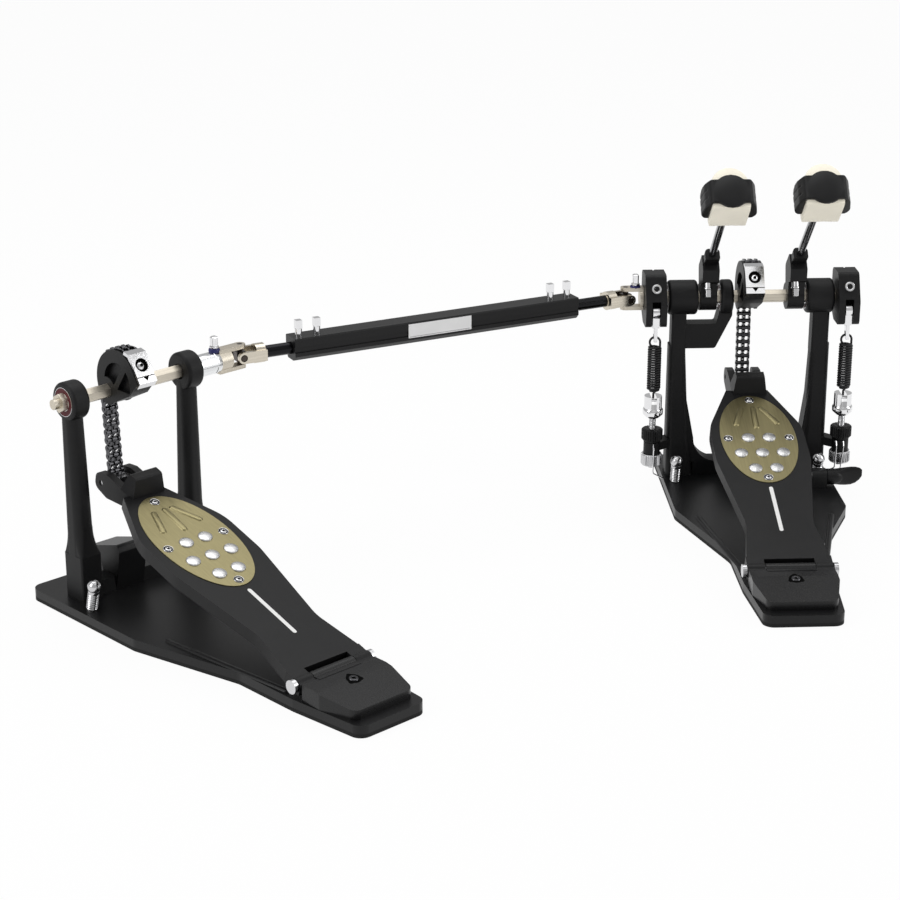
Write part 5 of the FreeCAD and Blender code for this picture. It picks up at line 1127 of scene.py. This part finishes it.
def screw_ring(x, y):
    """Bright rim of the countersink, with the screw's head in it."""
    return several(
        lathe([(3.4, 0.05), (3.9, 0.05), (4.0, 0.25), (3.8, 0.45), (3.5, 0.4)], 40, (x, y, PLATE_TOP)),
        lathe([(1.0, 0.1), (2.5, 0.1), (2.6, 0.35), (2.2, 0.7), (1.4, 0.85), (1.1, 0.6)],
              36, (x, y, PLATE_TOP)))


def screw_shade(x, y):
    """Floor of the countersink and a six-sided socket, in painted shade."""
    return several(
        lathe([(2.4, 0.04), (3.6, 0.04), (3.6, 0.2), (2.4, 0.2)], 40, (x, y, PLATE_TOP)),
        lathe([(0, 0.1), (1.25, 0.1), (1.2, 0.5), (0.5, 0.35), (0, 0.4)], 6, (x, y, PLATE_TOP)))


heads = several(*[screw_ring(x, y) for x, y in GRIP_SCREWS])
# The countersink floors and sockets are painted shade.
floors = several(*[screw_shade(x, y) for x, y in GRIP_SCREWS])
for side in ("main", "slave"):
    studs = add_piece(side + "_studs_spun", domes, board_frame[side], spun_silver, side + "_board")
    screws = add_piece(side + "_grip_screws", heads, board_frame[side], dull_chrome, side + "_board")
    shades = add_piece(side + "_screw_shades", floors, board_frame[side], painted_shade_black, side + "_board")
    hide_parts(side + "_grip_studs")
print("studs:", 2 * len(STUDS), "grip screws:", 2 * len(GRIP_SCREWS))

# %% [markdown]
# ## Heel recess
# The heel plate's screw sits in a recess with three lobes. Its shade is painted: a dark inlay that lies in the
# sloping top face, because a recess this shallow shows only as its outline.

# %% Recess with three lobes
HEEL_SLOPE = math.atan2(6.0, 37.4)
SCREW_BACK, SCREW_RISE = 273.54, 21.85


def three_lobes(radius, lobe, count=72):
    """Round outline with three bulges, one of them towards the drum."""
    points = []
    for k in range(count):
        angle = 2 * math.pi * k / count
        reach = radius + lobe * max(0.0, math.cos(3 * (angle - math.pi / 2))) ** 2
        points.append(on_circle(reach, angle))
    return points


heel_face = Matrix.Translation((0, -SCREW_BACK, SCREW_RISE)) @ Matrix.Rotation(HEEL_SLOPE, 4, "X")
# The recess is painted shade: a near-black inlay laid over the face.
recess_shade = moved(extrude(three_lobes(radius=5.6, lobe=1.5), -0.6, 0.12), heel_face)
head = moved(lathe([(1.5, 0.0), (3.4, 0.0), (3.6, 0.3), (3.2, 0.8), (1.9, 0.9), (1.5, 0.6)], 36), heel_face)
for side in ("main", "slave"):
    inlay_or_painted_shade = add_piece(side + "_heel_recess_shade", recess_shade, pedal_frame[side], painted_shade_black, side + "_frame",
                      smooth=False)
    screw = add_piece(side + "_heel_screw", head, pedal_frame[side], chain_black, side + "_frame")
print("heel recesses: 2, sloping", round(math.degrees(HEEL_SLOPE), 1), "degrees")

# %% [markdown]
# ## Chain clamps
# The clamp on each cam holds the chain's end under a bolt that is sunk in a round recess. A seam and a small
# notch cross the clamp below it. All three are cut in the frame's part, but under soft light they would look
# too pale, so their shade is painted: they are lined with the darkest black.

# %% Shades of the chain clamps
CAM_X, CAM_CENTRE = 2.0, (-13.5, AXLE_HEIGHT + 8.5)


def on_cam(radius, degrees):
    """Point round the middle of the cam's curve."""
    return Vector((CAM_X, *on_circle(radius, math.radians(degrees), *CAM_CENTRE)))


def rectangle(x0, y0, x1, y1):
    """Outline with four corners."""
    return [(x0, y0), (x1, y0), (x1, y1), (x0, y1)]


clamp_top, clamp_knee = on_cam(30.6, 121.0), on_cam(29.4, 168.0)
down = (clamp_knee - clamp_top).normalized()
across = Vector((1, 0, 0))
clamp_face = Matrix((across, -down, down.cross(across))).transposed().to_4x4()
clamp_face.translation = clamp_top.lerp(clamp_knee, 0.4)
seam = -0.38 * (clamp_knee - clamp_top).length
# Painted shade: the recess floor, socket, notch and seam are lined with near-black.
shade = several(
    lathe([(3.35, -2.17), (5.3, -2.17), (5.3, -1.9), (3.35, -1.9)], 44),
    lathe([(0, -0.4), (1.5, -0.4), (1.45, 0.04), (0, 0.02)], 6),
    extrude([(-2.75, seam - 0.05), (0, seam - 3.55), (2.75, seam - 0.05)], -2.9, -0.15),
    extrude(rectangle(-7.8, seam - 0.3, 7.8, seam + 0.3), -0.75, -0.4))
for side in ("main", "slave"):
    piece = add_piece(side + "_clamp_shades", moved(shade, clamp_face), pedal_frame[side], painted_shade_black,
                      side + "_axle", smooth=False)
print("clamp shades: 2, seam", round(-seam, 1), "mm below the bolt")

# %% [markdown]
# ## Label on the drive tube
# A plain paper label is stuck on the near face of the tube. It carries nothing but a thin grey line along its
# lower edge. An image on the tube would need a map for it, so both are thin flat bodies that ride on the
# shaft.

# %% Blank label
LABEL_X0, LABEL_X1, LABEL_LOW, LABEL_HIGH = 145.0, 203.0, -3.8, 8.0
LINE_INSET, LINE_LOW, LINE_HIGH = 1.2, LABEL_LOW + 0.8, LABEL_LOW + 1.3

label_paper = finish("label_paper", (0.80, 0.80, 0.80), 0.55, grain=0.3, bump=0.05, tone=0.03)
label_grey = finish("label_grey", (0.33, 0.33, 0.34), 0.55, grain=0.3, bump=0.05, tone=0.05)
sheet = extrude(rectangle(LABEL_X0, LABEL_LOW, LABEL_X1, LABEL_HIGH), -9.62, -9.50, "Y")
grey_line = rectangle(LABEL_X0 + LINE_INSET, LINE_LOW, LABEL_X1 - LINE_INSET, LINE_HIGH)
label = add_piece("tube_label", sheet, shaft_frame, label_paper, "shaft", smooth=False)
edge = add_piece("tube_label_border", extrude(grey_line, -9.66, -9.61, "Y"), shaft_frame, label_grey,
                 "shaft", smooth=False)
print("label:", LABEL_X1 - LABEL_X0, "mm long, blank")

# %% [markdown]
# ## Wing screw
# The hoop clamp is worked with a moulded wing: a hub on the screw with a wide paddle that curls up at its
# end. A subdivided cage would make it too, but stacking a few oval sections along the paddle keeps its
# length, thickness and curl in one short table.

# %% Wing paddle
WING_Y, WING_Z = -41.0, 17.5
PADDLE_SIDES, PADDLE_FULLNESS = 20, 0.7
CURL_BACK, CURL_UP = 0.3, 0.7
PADDLE_SECTIONS = [
    (78.0, 6.4, 6.4, 0.0), (84.0, 7.4, 4.6, 0.0), (88.0, 8.0, 3.1, 0.3), (93.0, 8.2, 2.3, 1.0),
    (97.0, 7.4, 1.9, 2.2), (100.5, 5.4, 1.5, 3.8), (102.4, 3.0, 1.1, 5.0),
]
HUB_SECTION = [(0, 71.2), (6.4, 71.2), (7.0, 71.8), (7.0, 80.0), (6.2, 83.0), (4.6, 85.0), (0, 85.0)]
SHANK_SECTION = [(0, 2.0), (3.0, 2.0), (6.0, 8.0), (6.0, 16.0), (4.0, 16.6), (4.0, 72.0), (0, 72.0)]


def paddle(builder):
    """Paddle along X: wide, thin and curled, with a thick root."""
    rings = []
    for x, half_tall, half_thick, curl in PADDLE_SECTIONS:
        ring = []
        for k in range(PADDLE_SIDES):
            a, b = on_circle(1.0, 2 * math.pi * k / PADDLE_SIDES)
            tall = half_tall * math.copysign(abs(a) ** PADDLE_FULLNESS, a)
            thick = half_thick * math.copysign(abs(b) ** PADDLE_FULLNESS, b)
            spot = (x, WING_Y + thick - curl * CURL_BACK, WING_Z + tall + curl * CURL_UP)
            ring.append(builder.verts.new(spot))
        rings.append(ring)
    skin(builder, rings)


wing_hub = lathe(HUB_SECTION, 40, (0, WING_Y, WING_Z), "X")
shank = lathe(SHANK_SECTION, 40, (0, WING_Y, WING_Z), "X")
wing = add_piece("wing_paddle", several(paddle, wing_hub), to_metres, moulded_black, "wing_screw")
screw = add_piece("wing_shank", shank, to_metres, dull_chrome, "wing_screw")
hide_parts("wing_screw")
print("wing paddle: 1, of", len(PADDLE_SECTIONS), "sections")

# %% [markdown]
# ## Base ribs
# Two low ribs stiffen each base plate where it narrows from the towers to the heel. The helper for the ribs
# of the gold plates serves here too, with a longer and slightly higher rib.

# %% Ribs on the bases
BASE_TOP = 9.5
HEEL_X, HEEL_Y, TOWER_Y = 31.0, -236.0, -112.0
RIB_INSET = 17.0
rib_section = {"half": 2.6, "low": BASE_TOP - 0.1, "tall": 1.5}
for side, left_edge in BASE_LEFT.items():
    left_run = ridge((-HEEL_X, HEEL_Y), (RIB_INSET - left_edge, TOWER_Y), **rib_section)
    right_run = ridge((HEEL_X, HEEL_Y), (BASE_RIGHT - RIB_INSET, TOWER_Y), **rib_section)
    ribs = add_piece(side + "_base_ribs", several(left_run, right_run), pedal_frame[side], base_black,
                     side + "_frame")
print("base ribs:", 2 * len(BASE_LEFT))

# %% [markdown]
# ## Feet of the slave towers
# The slave pedal's columns flare into their feet. A short fairing carries the column's round corners into the
# square shoe. Its rings change size and corner radius step by step, which a bevel between the two can't do.

# %% Tower fairings
SHOE_TOP, FAIRING_TOP = 45.9, 68.0
SHOE_HALF, COLUMN_HALF = 11.5, 9.4
SHOE_CORNER, COLUMN_CORNER = 2.0, 6.4
CORNER_STEPS, FAIRING_STEPS, FLARE = 8, 8, 2.2
FAIRINGS = {"left": (-46.5, -30.1, -27.5), "right": (75.3, 58.8, 56.0)}


def rounded_ring(builder, x0, x1, half, radius, z):
    """Ring of vertices round a rectangle with round corners."""
    ring = []
    for x, y, first in ((x1, half, 0), (x0, half, 90), (x0, -half, 180), (x1, -half, 270)):
        cx = x - math.copysign(radius, x - (x0 + x1) / 2)
        cy = y - math.copysign(radius, y)
        for k in range(CORNER_STEPS + 1):
            angle = math.radians(first + 90 * k / CORNER_STEPS)
            ring.append(builder.verts.new((*on_circle(radius, angle, cx, cy), z)))
    return ring


def fairing(outer, knee, foot):
    """Flare from the square shoe up to the column."""
    def build(builder):
        inset = math.copysign(0.3, foot - outer)
        rings = []
        for k in range(FAIRING_STEPS + 1):
            share = k / FAIRING_STEPS
            ease = 1 - (1 - share) ** FLARE
            near, far = sorted((outer + inset, foot + (knee - foot) * ease))
            half = SHOE_HALF + (COLUMN_HALF - SHOE_HALF) * ease
            corner = SHOE_CORNER + (COLUMN_CORNER - SHOE_CORNER) * ease
            rise = SHOE_TOP + (FAIRING_TOP - SHOE_TOP) * share
            rings.append(rounded_ring(builder, near, far, half, corner, rise))
        skin(builder, rings)
    return build


for name, sides in FAIRINGS.items():
    piece = add_piece("slave_" + name + "_fairing", fairing(*sides), pedal_frame["slave"], powder_black,
                      "slave_frame")
print("tower fairings:", len(FAIRINGS))

# %% [markdown]
# ## Studio
# The object stands on a pale floor before a white surround. More light would bleach the object as well, so
# the white depends on the ray instead. The floor is white to the camera and in reflections, mixed with a
# little matt grey that keeps the shadow, and matt grey to all other rays.

# %% Floor
FLOOR_DROP, FLOOR_REACH, FLOOR_WHITE = 0.0004, 6.0, 0.95
WHITE = (1, 1, 1, 1)


def white_rays(tree, other_ray):
    """Is 1 for rays from the camera and for one other kind of ray."""
    path = add_node(tree, "LightPath")
    seen = add_node(tree, "Math", "MAXIMUM")
    tree.links.new(path.outputs["Is Camera Ray"], seen.inputs[0])
    tree.links.new(path.outputs[other_ray], seen.inputs[1])
    return seen.outputs[0]


def make_floor_finish():
    """Matt grey that keeps the shadow, mixed with white where the camera looks."""
    material = bpy.data.materials.new("studio_floor")
    material.use_nodes = True
    tree = material.node_tree
    shader = tree.nodes["Principled BSDF"]
    shader.inputs["Base Color"].default_value = (0.86, 0.86, 0.86, 1)
    shader.inputs["Roughness"].default_value = 0.8
    glow = add_node(tree, "Emission", Color=WHITE, Strength=1.0)
    share = add_node(tree, "Math", "MULTIPLY", second=FLOOR_WHITE)
    mix = add_node(tree, "MixShader")
    tree.links.new(white_rays(tree, "Is Glossy Ray"), share.inputs[0])
    tree.links.new(share.outputs[0], mix.inputs["Fac"])
    tree.links.new(shader.outputs["BSDF"], mix.inputs[1])
    tree.links.new(glow.outputs["Emission"], mix.inputs[2])
    tree.links.new(mix.outputs["Shader"], tree.nodes["Material Output"].inputs["Surface"])
    return material


floor_mesh = bpy.data.meshes.new("floor")
floor_corners = rectangle(-FLOOR_REACH, -FLOOR_REACH, FLOOR_REACH, FLOOR_REACH)
floor_mesh.from_pydata([(x, y, -FLOOR_DROP) for x, y in floor_corners], [], [(0, 1, 2, 3)])
floor_mesh.materials.append(make_floor_finish())
floor = bpy.data.objects.new("floor", floor_mesh)
bpy.context.scene.collection.objects.link(floor)
print("floor:", 2 * FLOOR_REACH, "m wide")

# %% [markdown]
# The surround is the world itself: white to the camera and through glass, and half as bright to all other
# rays. A backdrop of mesh would do as well, but it could get in the way of other views.

# %% Surround
SURROUND_LEVEL = 0.50


def make_surround():
    """White world that lights the object at a lower level than it shows."""
    world = bpy.data.worlds.new("studio")
    bpy.context.scene.world = world
    world.use_nodes = True
    tree = world.node_tree
    back = tree.nodes["Background"]
    back.inputs["Color"].default_value = WHITE
    level = add_node(tree, "MapRange", To_Min=SURROUND_LEVEL, To_Max=1.0)
    tree.links.new(white_rays(tree, "Is Transmission Ray"), level.inputs["Value"])
    tree.links.new(level.outputs["Result"], back.inputs["Strength"])


make_surround()
print("surround lights at", SURROUND_LEVEL)

# %% [markdown]
# Black metal shows its form by what it mirrors, so the lights are wide panels and not points. The largest
# hangs above, a tall one stands on each side, and two small ones lift the front and the right.

# %% Lights
LIGHT_AIM = Vector((-0.25, -0.05, 0.12))
PANELS = {
    "top_softbox": ((-0.4, 0.2, 1.7), (1.8, 1.2), 12.0),
    "left_softbox": ((-1.7, -0.9, 0.9), (1.0, 1.2), 10.0),
    "right_strip": ((1.4, -0.5, 0.8), (0.5, 1.2), 7.0),
    "front_panel": ((0.08, -0.95, 1.45), (0.7, 0.5), 0.9),
    "right_panel": ((1.04, 0.1, 1.5), (0.8, 0.8), 1.7),
}
for name, (place, size, power) in PANELS.items():
    lamp = bpy.data.lights.new(name, "AREA")
    lamp.shape = "RECTANGLE"
    lamp.size, lamp.size_y = size
    lamp.energy = power
    light = bpy.data.objects.new(name, lamp)
    bpy.context.scene.collection.objects.link(light)
    light.location = place
    light.rotation_euler = (LIGHT_AIM - Vector(place)).to_track_quat("-Z", "Y").to_euler()
print("lights:", len(PANELS), "with", round(sum(panel[2] for panel in PANELS.values()), 1), "W")

# %% [markdown]
# The camera looks from a little left of straight ahead and twenty degrees up, from about two metres with a
# long lens, which keeps the perspective mild.

# %% Camera
CAMERA_LENS, SENSOR_WIDTH = 91.89, 36.0
CAMERA_PLACE = (-0.34924, -1.89703, 0.72480)
CAMERA_TILT, CAMERA_TURN = math.radians(69.99), math.radians(-2.85)

camera_data = bpy.data.cameras.new("camera")
camera_data.lens = CAMERA_LENS
camera_data.sensor_width = SENSOR_WIDTH
camera_data.clip_end = 20.0
camera = bpy.data.objects.new("camera", camera_data)
bpy.context.scene.collection.objects.link(camera)
camera.location = CAMERA_PLACE
camera.rotation_euler = (CAMERA_TILT, 0.0, CAMERA_TURN)
bpy.context.scene.camera = camera
bpy.context.scene.view_settings.view_transform = "Standard"
print("camera looks down", round(90 - math.degrees(CAMERA_TILT), 1), "degrees")
